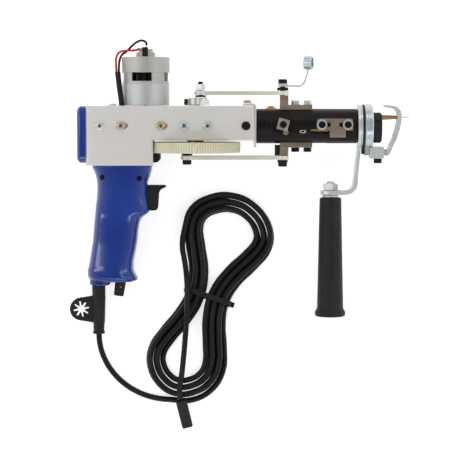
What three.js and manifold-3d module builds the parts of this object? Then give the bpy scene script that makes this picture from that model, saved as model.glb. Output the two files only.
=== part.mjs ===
// Handheld tufting machine, lying on its side on a bench with its cord in a hank beside it.
// Millimetres, +Z up. The machine is built in its own upright axes, then laid down at the end:
// X runs along the barrel to the needle, Y up the motor, Z across, from the main shaft at barrel level.
import * as THREE from "three";
import { mergeVertices } from "three/addons/utils/BufferGeometryUtils.js";
import Module from "manifold-3d";

const wasm = await Module();
wasm.setup();

// General
const fit = 0.3; // gap between pieces that seat or run on each other
const overrun = 2; // how far a cut runs past the face that it leaves
const weld = 1e-4;
const sides = { large: 24, medium: 20, small: 12, tiny: 8, wire: 6, lead: 5, spring: 4 };
const arcs = { fine: 4, plain: 3, coarse: 2 };

// Housing of folded sheet, an L from the side: a deep rear box and a shallow front part
const housing = {
  rear: 102.6,
  front: 55.7,
  step: 39.9,
  top: 19.5,
  floor: 13.3,
  depth: 36.6,
  width: 50,
  sheet: 1.5,
  fold: 1.2,
};
const housingLength = housing.rear + housing.front;
const panHead = { radius: 4.6, height: 2.4, edge: 0.8 };
const adjusting = { radius: 4.2, height: 2.2, slotLength: 13, slotHeight: 5.4, level: 0.6 };
const sideScrewShares = [0.0815, 0.584, 0.723, 0.952];
const adjustScrewShares = [0.207, 0.444];

// Cap that closes the rear of the housing
const cap = { thickness: 8.3, below: 0.3, above: 1.9, corner: 5, edge: 2.4, lip: 4 };

// Gears: the motor's pinion drives the large gear on the main shaft
const teeth = { module: 0.8, gear: 106, pinion: 12 };
const toothShares = { addendum: 0.85, dedendum: 1.15, rootWidth: 0.62, tipWidth: 0.24 };
const gear = { level: 15.2, thickness: 10, bore: 4.3 };
const pinion = { overlap: 1, bore: 2.8, hubRadius: 5.2, hubHeight: 4 };
const gearPitch = (teeth.module * teeth.gear) / 2;
const pinionPitch = (teeth.module * teeth.pinion) / 2;
const gearTip = gearPitch + toothShares.addendum * teeth.module;
const gearBottom = gear.level + gear.thickness;
const gearSlot = { side: 3, over: 1.4, under: 1.6 };
const guard = { thickness: 6.2, height: 8.5, width: 30, chamfer: 2.5 };

// Motor, standing on the housing over the pinion
const motorX = -(gearPitch + pinionPitch);
const motor = {
  radius: 21.4,
  wall: 1.2,
  height: 45.6,
  lowerRing: 22.5,
  lowerRingHeight: 20.4,
  band: 22.8,
  bandHeight: 14.6,
  bandSplit: 0.8,
  ringGap: 0.2,
  ventLow: 23,
  ventHeight: 8.1,
  ventWidth: 19.4,
  shaft: 2.5,
  armature: 14,
  armatureLow: 9,
  armatureHeight: 26,
  commutator: 7,
  capPlate: 2.6,
  boss: 9.2,
  bossHeight: 4.4,
  bearingCup: 7,
  cupHeight: 3.4,
};
const terminals = { width: 5.4, height: 9, depth: 5, front: 9.8, lug: 1, lugReach: 2 };
const lead = { diameter: 2.2, steps: 16 };
const sleeve = { radius: 2.6, hole: 3, steps: 6 };
// Routes of the leads and their sleeve: shares of the motor's radius, height and radius from its seat
const routeShares = {
  red: [
    [-0.219, 1.178, 0.478],
    [-0.386, 1.143, 0.478],
    [-0.605, 1.136, 0.469],
    [-0.846, 1.129, 0.456],
    [-1.088, 1.092, 0.439],
    [-1.202, 0.991, 0.425],
    [-1.215, 0.838, 0.417],
    [-1.202, 0.701, 0.412],
  ],
  black: [
    [0.061, 1.268, 0.601],
    [0.026, 1.307, 0.601],
    [-0.132, 1.340, 0.601],
    [-0.325, 1.311, 0.601],
    [-0.583, 1.211, 0.596],
    [-0.846, 1.114, 0.579],
    [-1.000, 1.022, 0.553],
    [-1.070, 0.899, 0.509],
    [-1.092, 0.772, 0.478],
    [-1.094, 0.701, 0.465],
  ],
  sleeve: [
    [-1.149, 0.692, 0.439],
    [-1.070, 0.355, 0.482],
    [-0.982, 0.024, 0.539],
    [-0.982, -0.088, 0.539],
  ],
};

// Main shaft, its bushes and the crank blocks
const shaft = { radius: 4, top: 27 };
const bush = { radius: 8, flange: 11, flangeHeight: 3, rise: 0.2 };
const crank = {
  upperRadius: 5,
  lowerRadius: 8,
  hub: 6.6,
  height: 7.2,
  boss: 6.4,
  bossHeight: 2.8,
  nut: 11,
  nutOffset: 8,
  nutHeight: 5.2,
  clampScrew: 3,
  clampHead: 3.8,
};

// Connecting rods and the screws through their eyes
const rod = { thickness: 4, width: 8, eye: 6, screw: 2.5, hole: 2.9, washer: 5.2, washerHeight: 1.9 };
const rodNut = { flats: 8, height: 4.8, washerHeight: 1.2, boltEnd: 2.6 };
const capHead = { radius: 4.3, height: 4.3, edge: 0.6 };
const upperRodLevel = 31.5;
const lowerRodLevel = 30.2;

// Front plate and barrel
const frontPlate = { top: 12.3, thickness: 1.9, drop: 19.8, width: 40, bend: 2.5 };
const domeScrew = { radius: 4.2, height: 2.8 };
const domeShares = [
  [0, 0],
  [1, 0],
  [1, 0.25],
  [0.8, 0.75],
  [0.4, 1],
  [0, 1],
];
const barrel = {
  radius: 16.5,
  bore: 12.9,
  length: 96.2,
  plug: 8,
  neck: 14.4,
  neckLength: 14.3,
  slotWidth: 6.4,
  sideSlotHeight: 4.2,
  sideSlotLevel: 5,
  flat: 15.3,
  edge: 0.8,
};
const plateFace = housing.front + fit + frontPlate.thickness;
const barrelRear = plateFace + fit;
const shoulder = barrelRear + barrel.length;
const neckEnd = shoulder + barrel.neckLength;
const greaseCap = { radius: 5.4, height: 6.5, shoulder: 3.6, place: 14.4, turn: 40 };
const squareNut = { side: 10.7, height: 3.2, turn: 15, level: 1.7, screw: 3.4, screwHeight: 1.2 };
const lockScrew = { flats: 4.8, height: 2.2, ahead: 2.5, below: 7.3 };

// Height plate, a T with two slots, on a flat of the barrel
const tee = {
  length: 34,
  height: 11.2,
  level: 1.6,
  tabWidth: 15,
  tabDrop: 6.5,
  tabPlace: 12.2,
  thickness: 2,
  corner: 1.2,
  slot: 4.4,
  slotLength: 11.6,
  behindShoulder: 5,
};
const teeScrew = { radius: 3.5, height: 3, shank: 1.9, washer: 5.15, washerHeight: 0.8, hole: 2.3 };

// Sliding bars in the barrel, needle and looper wire
const stroke = { needle: 16, looper: 10 };
const slider = { radius: 12.4, split: 0.9, flat: 12 };
const needleBar = { rear: 30, front: 76, holder: 12, holderWidth: 9, holderTop: 11.2, holderDrop: 8 };
const needle = { level: 8.3, radius: 2.55, tip: 1.65, bore: 1.25, length: 59, taper: 17, cut: 4 };
const looper = { radius: 0.4, length: 79, seat: 6, above: 0.3 };
const looperBar = { rear: 26, front: 73.3 };

// Brackets that carry the wrist screws of the rods
const bracket = { foot: 3.6, post: 8, width: 12, rear: 22.5, length: 30.8, clear: 0.3 };
const bracketScrewShares = [0.48, 0.86];
const bracketScrew = { radius: 3.9, height: 4.2, shank: 2.3, spigot: 2.4 };
const bumper = { thickness: 4.8, height: 10, width: 8 };
const wrist = { rear: 25.2, spacerRadius: 5.4, spacer: 3, washers: 3.6, washerRadius: 5 };

// Yarn guide: a wire from the wrist screw and the eyelet at its end
const guide = {
  wire: 2,
  eyeRadius: 4.6,
  along: 17.5,
  bend: 4,
  rise: 15,
  lean: 7,
  eyelet: 6.7,
  bore: 4.8,
  eyeletLength: 7.6,
  turn: 18,
  steps: 9,
};

// Front end: handle ring, gasket, collar, nose ring, foot clamp and presser foot
const ring = { thickness: 2.9, radius: 21, clear: 0.3 };
const gasket = { thickness: 3, tongueDrop: 26.6, tongueWidth: 16 };
const collar = { thickness: 7.8, edge: 1.2, lugWidth: 13, lugDrop: 28, lugLength: 4.7 };
const nose = { radius: 14.5, length: 8.3, level: -1.5, hole: 3.6, edge: 1.2 };
const clamp = { length: 13.7, drop: 30.8, top: 19.6, width: 15, inset: 3.1, screwPlace: 8.2 };
const footBar = {
  thickness: 4.2,
  width: 14,
  shankWidth: 8,
  level: 26.1,
  slot: 6.4,
  slotLow: 10,
  sunk: 7.1,
  travel: 2,
  reach: 14.8,
  rise: 45.5,
  steps: 16,
};
// Route of the presser foot's bent part: shares of its reach before the clamp and of its rise from the shank
const footRouteShares = [
  [0.176, 0],
  [0.25, 0.012],
  [0.32, 0.05],
  [0.4, 0.118],
  [0.736, 0.365],
  [0.939, 0.607],
  [1, 0.802],
  [0.899, 0.901],
  [0.642, 0.967],
  [0.27, 0.987],
  [-0.007, 1],
];
const clampScrew = { radius: 3.9, height: 4.4, shank: 2 };

// Front handle
const handle = {
  width: 20,
  thickness: 4.2,
  length: 65.5,
  lean: 2.8,
  bend: 7,
  reach: 25.4,
  gripTop: 68.4,
  gripRadius: 10.45,
  gripLow: 12.6,
  gripLength: 114,
  flange: 14.7,
  flangeHeight: 4.8,
  neckHeight: 2.8,
  round: 1.6,
};
const handleBolt = { radius: 4, rise: 9, flats: 13, nut: 6, washer: 8, sunk: 98 };

// Pistol grip: rows of shares down its length for its rear edge, front edge and half thickness
const grip = { length: 111.3, reach: 62.7, rear: 103.6, half: 20, wall: 3, points: 16, seam: 0.15 };
const gripRowShares = [
  [0, 0.077, 1, 1],
  [0.087, 0.131, 0.97, 0.99],
  [0.172, 0.155, 0.925, 0.97],
  [0.351, 0.132, 0.95, 0.92],
  [0.394, 0.124, 0.955, 0.9],
  [0.463, 0.113, 0.83, 0.88],
  [0.549, 0.099, 0.785, 0.86],
  [0.747, 0.057, 0.737, 0.89],
  [0.854, 0.026, 0.706, 0.94],
  [0.915, 0, 0.713, 0.98],
  [0.962, 0.008, 0.76, 1],
  [0.985, 0.04, 0.775, 0.96],
  [1, 0.09, 0.74, 0.88],
];
const squareness = 2.6;
const gripScrew = { head: 2.5, recess: 2.8, depth: 3, shank: 1.5, hole: 1.9, boss: 4.4, bossWall: 0.4 };
const gripScrewShares = [
  [0.243, 0.103],
  [0.81, 0.112],
];
const collarTier = { radius: 10, height: 4.3, place: 11.9, edge: 1 };
const gripTop = -(housing.depth + fit);
const gripBottom = gripTop - grip.length;

// Trigger, its switch and spring: places before the grip's rear and under its top
const trigger = { down: 19.3, height: 24.4, width: 11, root: 47.6, nose: 68, horn: 75.5, travel: 6, bevel: 0.7 };
// Shape of the trigger's finger side, as shares of its rounded corner from the nose and from the horn
const triggerShares = {
  corner: 0.167,
  noseTop: [0.2, -2.2],
  hollow: [0.25, -0.9],
  hornFront: [0, -0.55],
  hornTip: [0.125, 0],
  hornRear: [-0.5, 0],
};
const switchBody = { rear: 15.6, length: 18, down: 23.1, height: 26, half: 9, boss: 4 };
const spring = { radius: 3.4, wire: 0.9, coils: 5, steps: 6, down: 31.3 };

// Speed control in the butt, a board with its finned heat sink, and the knob under it
const board = {
  inset: 13,
  length: 26,
  up: 10.2,
  height: 34,
  thickness: 1.6,
  sink: 4,
  fin: 1.6,
  finHeight: 3.6,
  fins: 5,
};
const knob = { radius: 5.1, length: 13.6, place: 31.6, lean: 8, ribs: 12, rib: 0.5 };

// Cord guard and key holder
const cordGuard = { top: 6.4, low: 5, end: 5.7, length: 46.7, endLength: 3, place: 10.6, clear: 0.3 };
const key = { from: 9.2, length: 27, wall: 1.6, thickness: 3, reach: 16.8, eye: 11, hub: 3.4, tip: 7.6 };
const keyNeckShare = 0.8;
const keySpokes = 8;

// Cord: a free stretch, a hank of loops, its tie and its end connector, in the bench's own axes
const cord = { diameter: 5.5, gap: 1.23 };
const hank = {
  x: 10,
  y: -159.5,
  lean: 19,
  half: 105.1,
  upperWidth: 68.6,
  lowerWidth: 59.5,
  waist: 22.3,
  loops: 3,
  lift: 2.5,
};
// Loop's ease, the open part of its last turn, half of the climb, and how its lobes and its lift draw in
const hankShares = { ease: 0.144, end: 0.36, climb: 0.25, swellPower: 3, liftPower: 6 };
const loopSteps = 24;
const tailSteps = 16;
const leadStepShare = 2.5;
const tie = { width: 5, wall: 1.2, clear: 0.9, head: 4.5 };
const plug = { width: 10.4, length: 28, height: 10, edge: 1, lean: 14, tilt: 22, x: -13.8, y: -259.6, z: 15.6 };
const tieShares = { left: 0.75, right: 0.25 };
// The lead's handles at both ends, as shares of the way from the guard to the loops
const leadShares = { guard: 0.33, loops: 0.45 };
// The last strand, over the tie to the end connector: shares of the way there, to the side of it, and its
// level in cord diameters
const tailShares = [
  [0.104, -0.012, 2.182],
  [0.201, 0.005, 3.018],
  [0.309, 0.02, 3.709],
  [0.443, 0.025, 3.709],
  [0.577, 0.021, 3.273],
  [0.717, 0.013, 2.982],
  [0.844, 0.003, 2.945],
];

// Closed geometry as a solid with its faces turned out
function solid(geometry) {
  const bare = geometry.clone();
  bare.deleteAttribute("normal");
  bare.deleteAttribute("uv");
  const merged = mergeVertices(bare, weld);
  const corners = merged.index.array;
  const kept = [];
  for (let i = 0; i < corners.length; i += 3) {
    const [a, b, c] = [corners[i], corners[i + 1], corners[i + 2]];
    if (a !== b && b !== c && c !== a) kept.push(a, b, c);
  }
  const position = merged.attributes.position;
  const [p, q, r] = [new THREE.Vector3(), new THREE.Vector3(), new THREE.Vector3()];
  let volume = 0;
  for (let i = 0; i < kept.length; i += 3) {
    p.fromBufferAttribute(position, kept[i]);
    q.fromBufferAttribute(position, kept[i + 1]);
    r.fromBufferAttribute(position, kept[i + 2]);
    volume += p.dot(q.cross(r));
  }
  if (volume < 0) kept.reverse();
  return new wasm.Manifold(
    new wasm.Mesh({
      numProp: 3,
      vertProperties: new Float32Array(position.array),
      triVerts: new Uint32Array(kept),
    }),
  );
}

function join(...solids) {
  return solids.reduce((whole, piece) => whole.add(piece));
}

function cut(base, ...tools) {
  return tools.reduce((rest, tool) => rest.subtract(tool), base);
}

function geometryOf(shape) {
  const mesh = shape.getMesh();
  const places = new Float32Array(mesh.numVert * 3);
  for (let i = 0; i < mesh.numVert; i++) {
    places.set(mesh.vertProperties.subarray(i * mesh.numProp, i * mesh.numProp + 3), i * 3);
  }
  const geometry = new THREE.BufferGeometry();
  geometry.setAttribute("position", new THREE.BufferAttribute(places, 3));
  geometry.setIndex(new THREE.BufferAttribute(new Uint32Array(mesh.triVerts), 1));
  const faceted = geometry.toNonIndexed();
  faceted.computeVertexNormals();
  return faceted;
}

function box(x0, x1, y0, y1, z0, z1) {
  const geometry = new THREE.BoxGeometry(x1 - x0, y1 - y0, z1 - z0);
  return solid(geometry.translate((x0 + x1) / 2, (y0 + y1) / 2, (z0 + z1) / 2));
}

// Revolved profiles: rows of [radius, place along the axis]; turned about Y, X or Z
function turned(profile, facets, phase = 0) {
  const points = profile.map(([radius, along]) => new THREE.Vector2(radius, along));
  return new THREE.LatheGeometry(points, facets, phase);
}

function turnedY(profile, facets, x = 0, z = 0) {
  return solid(turned(profile, facets).translate(x, 0, z));
}

function turnedX(profile, facets, y = 0, z = 0) {
  return solid(turned(profile, facets).rotateZ(-Math.PI / 2).translate(0, y, z));
}

function turnedZ(profile, facets, x = 0, y = 0) {
  return solid(turned(profile, facets).rotateX(Math.PI / 2).translate(x, y, 0));
}

function pin(radius, from, to) {
  return [
    [0, from],
    [radius, from],
    [radius, to],
    [0, to],
  ];
}

function sleeveProfile(inner, outer, from, to) {
  return [
    [inner, from],
    [outer, from],
    [outer, to],
    [inner, to],
    [inner, from],
  ];
}

// A head with a rounded outer edge that grows from its seat at `from` to `to`
function headProfile(radius, from, to, edge) {
  const way = Math.sign(to - from);
  return [
    [0, from],
    [radius, from],
    [radius, to - way * edge],
    [radius - edge, to],
    [0, to],
  ];
}

function extruded(shape, depth, options = {}) {
  const plain = { depth, bevelEnabled: false, steps: 1, curveSegments: arcs.fine };
  return new THREE.ExtrudeGeometry(shape, { ...plain, ...options });
}

function outline(points) {
  return new THREE.Shape(points.map(([x, y]) => new THREE.Vector2(x, y)));
}

// Outlines drawn across the machine, and outlines drawn flat under the motor
function across(shape, width, centre = 0, options = {}) {
  return solid(extruded(shape, width, options).translate(0, 0, centre - width / 2));
}

function flat(shape, from, to, x = 0) {
  return solid(extruded(shape, to - from).rotateX(-Math.PI / 2).translate(x, from, 0));
}

function hexagon(flats, facets = 6) {
  const radius = flats / 2 / Math.cos(Math.PI / facets);
  const points = [];
  for (let i = 0; i < facets; i++) {
    const angle = ((i + 0.5) * 2 * Math.PI) / facets;
    points.push([radius * Math.cos(angle), radius * Math.sin(angle)]);
  }
  return outline(points);
}

function roundedRectangle(width, height, corner) {
  const shape = new THREE.Shape();
  const [w, h] = [width / 2, height / 2];
  shape.moveTo(-w + corner, -h);
  shape.lineTo(w - corner, -h);
  shape.absarc(w - corner, -h + corner, corner, -Math.PI / 2, 0);
  shape.lineTo(w, h - corner);
  shape.absarc(w - corner, h - corner, corner, 0, Math.PI / 2);
  shape.lineTo(-w + corner, h);
  shape.absarc(-w + corner, h - corner, corner, Math.PI / 2, Math.PI);
  shape.lineTo(-w, -h + corner);
  shape.absarc(-w + corner, -h + corner, corner, Math.PI, 1.5 * Math.PI);
  return shape;
}

// Rings of points joined into one closed skin, with flat ends
function skin(rings) {
  const count = rings[0].length;
  const places = rings.flat().flatMap((point) => point.toArray());
  const faces = [];
  for (let row = 0; row + 1 < rings.length; row++) {
    for (let i = 0; i < count; i++) {
      const next = (i + 1) % count;
      const [a, b] = [row * count + i, row * count + next];
      faces.push(a, b, a + count, b, b + count, a + count);
    }
  }
  const last = (rings.length - 1) * count;
  for (let i = 1; i + 1 < count; i++) {
    faces.push(0, i + 1, i);
    faces.push(last, last + i, last + i + 1);
  }
  const geometry = new THREE.BufferGeometry();
  geometry.setAttribute("position", new THREE.Float32BufferAttribute(places, 3));
  geometry.setIndex(faces);
  return geometry;
}

// A round section carried along a row of points without twisting
function wound(points, radius, facets) {
  const rings = [];
  let side = null;
  points.forEach((point, i) => {
    const before = points[Math.max(i - 1, 0)];
    const after = points[Math.min(i + 1, points.length - 1)];
    const along = after.clone().sub(before).normalize();
    if (!side) side = new THREE.Vector3(0, 0, 1).cross(along);
    side.sub(along.clone().multiplyScalar(side.dot(along))).normalize();
    const up = along.clone().cross(side);
    const ringPoints = [];
    for (let k = 0; k < facets; k++) {
      const angle = (2 * Math.PI * k) / facets;
      const offset = side.clone().multiplyScalar(radius * Math.cos(angle));
      ringPoints.push(offset.addScaledVector(up, radius * Math.sin(angle)).add(point));
    }
    rings.push(ringPoints);
  });
  return skin(rings);
}

// A round section swept along a smooth curve
function swept(curve, diameter, facets, steps) {
  const section = new THREE.Shape();
  for (let k = 0; k < facets; k++) {
    const angle = (2 * Math.PI * (k + 0.5)) / facets;
    const [x, y] = [(diameter / 2) * Math.cos(angle), (diameter / 2) * Math.sin(angle)];
    if (k === 0) section.moveTo(x, y);
    else section.lineTo(x, y);
  }
  section.closePath();
  return new THREE.ExtrudeGeometry(section, { steps, extrudePath: curve, curveSegments: 1 });
}

function smooth(points) {
  const places = points.map(([x, y, z]) => new THREE.Vector3(x, y, z));
  return new THREE.CatmullRomCurve3(places, false, "centripetal");
}

const degrees = (angle) => (angle * Math.PI) / 180;

// Finishes
function finish(color, roughness, metalness) {
  return new THREE.MeshStandardMaterial({ color, roughness, metalness });
}

const finishes = {
  brushed: finish(0xb9babc, 0.38, 0.9),
  motorSteel: finish(0xa9abae, 0.3, 0.95),
  bluePlastic: finish(0x16409c, 0.25, 0),
  blackPlastic: finish(0x1d1d1f, 0.45, 0),
  rubber: finish(0x202022, 0.7, 0),
  blackSteel: finish(0x2b2c2e, 0.4, 0.7),
  nylon: finish(0xe6e0cf, 0.5, 0),
  zinc: finish(0xc6c8ca, 0.35, 0.85),
  brownSteel: finish(0x6f655c, 0.45, 0.8),
  brass: finish(0xb08a3c, 0.35, 0.9),
  bronze: finish(0x8a6a45, 0.35, 0.9),
  copper: finish(0x8b4a2a, 0.4, 0.8),
  board: finish(0x1f5a35, 0.5, 0),
  redCable: finish(0xb5202a, 0.5, 0),
  blackCable: finish(0x19191a, 0.5, 0),
};

const machine = new THREE.Group();
const tool = new THREE.Group();
const swinging = new THREE.Group();
machine.add(tool);
tool.add(swinging);

function place(name, shape, material, group = tool) {
  const geometry = shape.isBufferGeometry ? shape : geometryOf(shape);
  const mesh = new THREE.Mesh(geometry, material);
  mesh.name = name;
  group.add(mesh);
  return mesh;
}

// Housing
function housingOutline(inset, rear) {
  return outline([
    [-rear, -housing.depth + inset],
    [-housing.step - inset, -housing.depth + inset],
    [-housing.step - inset, -housing.floor + inset],
    [housing.front - inset, -housing.floor + inset],
    [housing.front - inset, housing.top - inset],
    [-rear, housing.top - inset],
  ]);
}

function sideScrew(radius, height, x, side) {
  const seat = housing.width / 2;
  const head = headProfile(radius, seat - fit, seat + height, panHead.edge);
  const turnedHead = turned(head, sides.tiny).rotateX((side * Math.PI) / 2);
  return solid(turnedHead.translate(x, adjusting.level, 0));
}

function makeHousing() {
  const half = housing.width / 2;
  const bevel = { bevelEnabled: true, bevelThickness: housing.fold, bevelSize: housing.fold };
  const folded = { ...bevel, bevelOffset: -housing.fold, bevelSegments: 1 };
  const outer = across(housingOutline(0, housing.rear), housing.width - 2 * housing.fold, 0, folded);
  const room = housing.width - 2 * housing.sheet;
  const inner = across(housingOutline(housing.sheet, housing.rear + overrun), room);
  const slotHalf = Math.sqrt(gearTip ** 2 - housing.step ** 2) + gearSlot.side;
  const front = -housing.step + overrun;
  const gearOpening = box(
    -housing.step - housing.sheet - overrun,
    front,
    -gearBottom - gearSlot.under,
    -gear.level + gearSlot.over,
    -slotHalf,
    slotHalf,
  );
  const above = housing.top + overrun;
  const shaftHoles = turnedY(pin(bush.radius + fit, -housing.floor - overrun, above), sides.small);
  const motorHole = turnedY(pin(pinion.hubRadius + fit, 0, above), sides.small, motorX);
  const [footX, , footZ] = sleeveFoot();
  const sleeveHole = turnedY(pin(sleeve.hole, 0, above), sides.small, footX, footZ);
  const wirePin = pin(switchBody.half, -housing.depth - overrun, -housing.depth + 2 * overrun);
  const wireHole = turnedY(wirePin, sides.small, switchCentre()[0]);
  let shell = cut(outer, inner, gearOpening, shaftHoles, motorHole, sleeveHole, wireHole);
  for (const side of [1, -1]) {
    for (const share of adjustScrewShares) {
      const x = -housing.rear + share * housingLength;
      const slotRear = x - adjusting.slotHeight / 2;
      const [z0, z1] = [half - housing.sheet - overrun, half + overrun].map((z) => z * side);
      const slot = box(
        slotRear,
        slotRear + adjusting.slotLength,
        adjusting.level - adjusting.slotHeight / 2,
        adjusting.level + adjusting.slotHeight / 2,
        Math.min(z0, z1),
        Math.max(z0, z1),
      );
      shell = join(cut(shell, slot), sideScrew(adjusting.radius, adjusting.height, x, side));
    }
    for (const share of sideScrewShares) {
      const x = -housing.rear + share * housingLength;
      shell = join(shell, sideScrew(panHead.radius, panHead.height, x, side));
    }
  }
  place("housing_shell", shell, finishes.brushed);
}

function makeRearCap() {
  const [top, bottom] = [housing.top - cap.below, -housing.depth + cap.above];
  const height = top - bottom;
  const middle = (top + bottom) / 2;
  const rim = roundedRectangle(housing.width - 2 * cap.edge, height - 2 * cap.edge, cap.corner);
  const block = extruded(rim, cap.thickness - cap.edge, {
    bevelEnabled: true,
    bevelThickness: cap.edge,
    bevelSize: cap.edge,
    bevelSegments: 1,
    curveSegments: arcs.plain,
  });
  const front = -housing.rear - fit;
  const shell = cut(
    solid(block.rotateY(-Math.PI / 2).translate(front, middle, 0)),
    box(front, front + 2 * cap.edge, -housing.width, housing.width, -housing.width, housing.width),
  );
  const clear = housing.sheet + fit;
  const lip = box(
    front - fit,
    front + cap.lip,
    -housing.depth + clear + fit,
    housing.top - clear,
    -housing.width / 2 + clear,
    housing.width / 2 - clear,
  );
  const hollow = box(
    front - fit,
    front + cap.lip + overrun,
    -housing.depth + 2 * clear + fit,
    housing.top - 2 * clear,
    -housing.width / 2 + 2 * clear,
    housing.width / 2 - 2 * clear,
  );
  const kept = box(front - cap.edge, front + cap.lip, bottom, top, -housing.width / 2, housing.width / 2);
  place("rear_cap", join(shell, cut(lip.intersect(kept), hollow)), finishes.bluePlastic);
}

function makeGuard() {
  const rear = -housing.step + fit;
  const top = -gearBottom - 2 * fit;
  const low = top - guard.height;
  const side = outline([
    [rear, low],
    [rear + guard.thickness - guard.chamfer, low],
    [rear + guard.thickness, low + guard.chamfer],
    [rear + guard.thickness, top],
    [rear, top],
  ]);
  place("gear_guard", across(side, guard.width), finishes.blackSteel);
}

// Motor
function motorRing(inner, outer, from, to) {
  return turnedY(sleeveProfile(inner, outer, from, to), sides.large, motorX);
}

function makeMotor() {
  const seat = housing.top + fit;
  const rim = seat + motor.height;
  const inside = motor.radius - motor.wall;
  const can = turnedY(
    [
      [motor.shaft + 2 * fit, seat],
      [motor.lowerRing, seat],
      [motor.lowerRing, seat + motor.lowerRingHeight],
      [motor.radius, seat + motor.lowerRingHeight],
      [motor.radius, rim],
      [inside, rim],
      [inside, seat + motor.wall],
      [motor.shaft + 2 * fit, seat + motor.wall],
      [motor.shaft + 2 * fit, seat],
    ],
    sides.large,
    motorX,
  );
  const low = seat + motor.ventLow;
  const half = motor.ventWidth / 2;
  const reach = motor.radius + overrun;
  const vents = join(
    box(motorX - half, motorX + half, low, low + motor.ventHeight, -reach, reach),
    box(motorX - reach, motorX + reach, low, low + motor.ventHeight, -half, half),
  );
  place("motor_can", cut(can, vents), finishes.motorSteel);
  const snug = motor.radius + motor.ringGap;
  const split = box(motorX - motor.bandSplit / 2, motorX + motor.bandSplit / 2, 0, rim + overrun, 0, reach);
  place("motor_band", cut(motorRing(snug, motor.band, rim - motor.bandHeight, rim), split), finishes.zinc);
  const plate = rim + fit;
  const cap = turnedY(
    [
      [motor.shaft + 2 * fit, plate - motor.capPlate],
      [inside - fit, plate - motor.capPlate],
      [inside - fit, plate],
      [motor.boss, plate],
      [motor.boss, plate + motor.bossHeight],
      [motor.bearingCup, plate + motor.bossHeight],
      [motor.bearingCup, plate + motor.bossHeight + motor.cupHeight],
      [0, plate + motor.bossHeight + motor.cupHeight],
      [0, plate + motor.bossHeight],
      [motor.shaft + 2 * fit, plate + motor.bossHeight],
      [motor.shaft + 2 * fit, plate - motor.capPlate],
    ],
    sides.medium,
    motorX,
  );
  place("motor_end_cap", cap, finishes.zinc);
  makeTerminals(plate + fit);
  makeRotor(seat, plate);
}

function makeTerminals(base) {
  const half = terminals.width / 2;
  const [left, right] = [motorX - half, motorX + half];
  const { front, depth, lug, lugReach } = terminals;
  const top = base + terminals.height;
  const block = box(left, right, base, top, front, front + depth);
  const [rear, fore] = [front + lug, front + depth - lug];
  const sideLug = box(left - lugReach, left + lug, top - 2 * lug, top, rear - lug / 2, rear + lug / 2);
  const near = fore - lug / 2;
  const topLug = box(motorX + lug / 2, motorX + 2 * lug, top - lug, top + lugReach, near, near + lug);
  place("motor_terminals", join(block, sideLug, topLug), finishes.blackPlastic);
}

function makeRotor(seat, plate) {
  const low = seat + motor.armatureLow;
  const high = low + motor.armatureHeight;
  const rotor = turnedY(
    [
      [0, -gearBottom - pinion.overlap],
      [motor.shaft, -gearBottom - pinion.overlap],
      [motor.shaft, low],
      [motor.armature, low],
      [motor.armature, high],
      [motor.commutator, high],
      [motor.commutator, plate - motor.capPlate - fit],
      [motor.shaft, plate - motor.capPlate - fit],
      [motor.shaft, plate + motor.bossHeight - fit],
      [0, plate + motor.bossHeight - fit],
    ],
    sides.small,
    motorX,
  );
  place("motor_rotor", rotor, finishes.copper);
  const rim = -gear.level + pinion.overlap;
  const toothedPart = flat(toothed(teeth.pinion, Math.PI / teeth.pinion), -gearBottom - pinion.overlap, rim);
  const hub = turnedY(pin(pinion.hubRadius, -gear.level, rim + pinion.hubHeight), sides.small);
  const bore = turnedY(pin(pinion.bore, -gearBottom - 2 * overrun, housing.top), sides.small);
  const wheel = cut(join(toothedPart, hub), bore);
  place("motor_pinion", wheel.translate([motorX, 0, 0]), finishes.zinc);
}

// Leads from the terminals down into the housing, through one sleeve
function route(shares) {
  const seat = housing.top + fit;
  return shares.map(([along, up, out]) => [
    motorX + along * motor.band,
    seat + up * motor.height,
    out * motor.band,
  ]);
}

function sleeveFoot() {
  return route(routeShares.sleeve).at(-1);
}

function makeLeads() {
  const sleeveCurve = smooth(route(routeShares.sleeve));
  place("lead_sleeve", solid(swept(sleeveCurve, 2 * sleeve.radius, sides.tiny, sleeve.steps)), finishes.rubber);
  for (const [name, shares, material] of [
    ["motor_lead_red", routeShares.red, finishes.redCable],
    ["motor_lead_black", routeShares.black, finishes.blackCable],
  ]) {
    place(name, solid(swept(smooth(route(shares)), lead.diameter, sides.lead, lead.steps)), material);
  }
}

// Gears
function toothed(count, phase) {
  const pitch = (teeth.module * count) / 2;
  const root = pitch - toothShares.dedendum * teeth.module;
  const tip = pitch + toothShares.addendum * teeth.module;
  const points = [];
  for (let tooth = 0; tooth < count; tooth++) {
    const middle = phase + (2 * Math.PI * tooth) / count;
    const rootHalf = (toothShares.rootWidth * Math.PI) / count;
    const tipHalf = (toothShares.tipWidth * Math.PI) / count;
    for (const [radius, angle] of [
      [root, middle - rootHalf],
      [tip, middle - tipHalf],
      [tip, middle + tipHalf],
      [root, middle + rootHalf],
    ]) {
      points.push([radius * Math.cos(angle), radius * Math.sin(angle)]);
    }
  }
  return outline(points);
}

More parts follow.
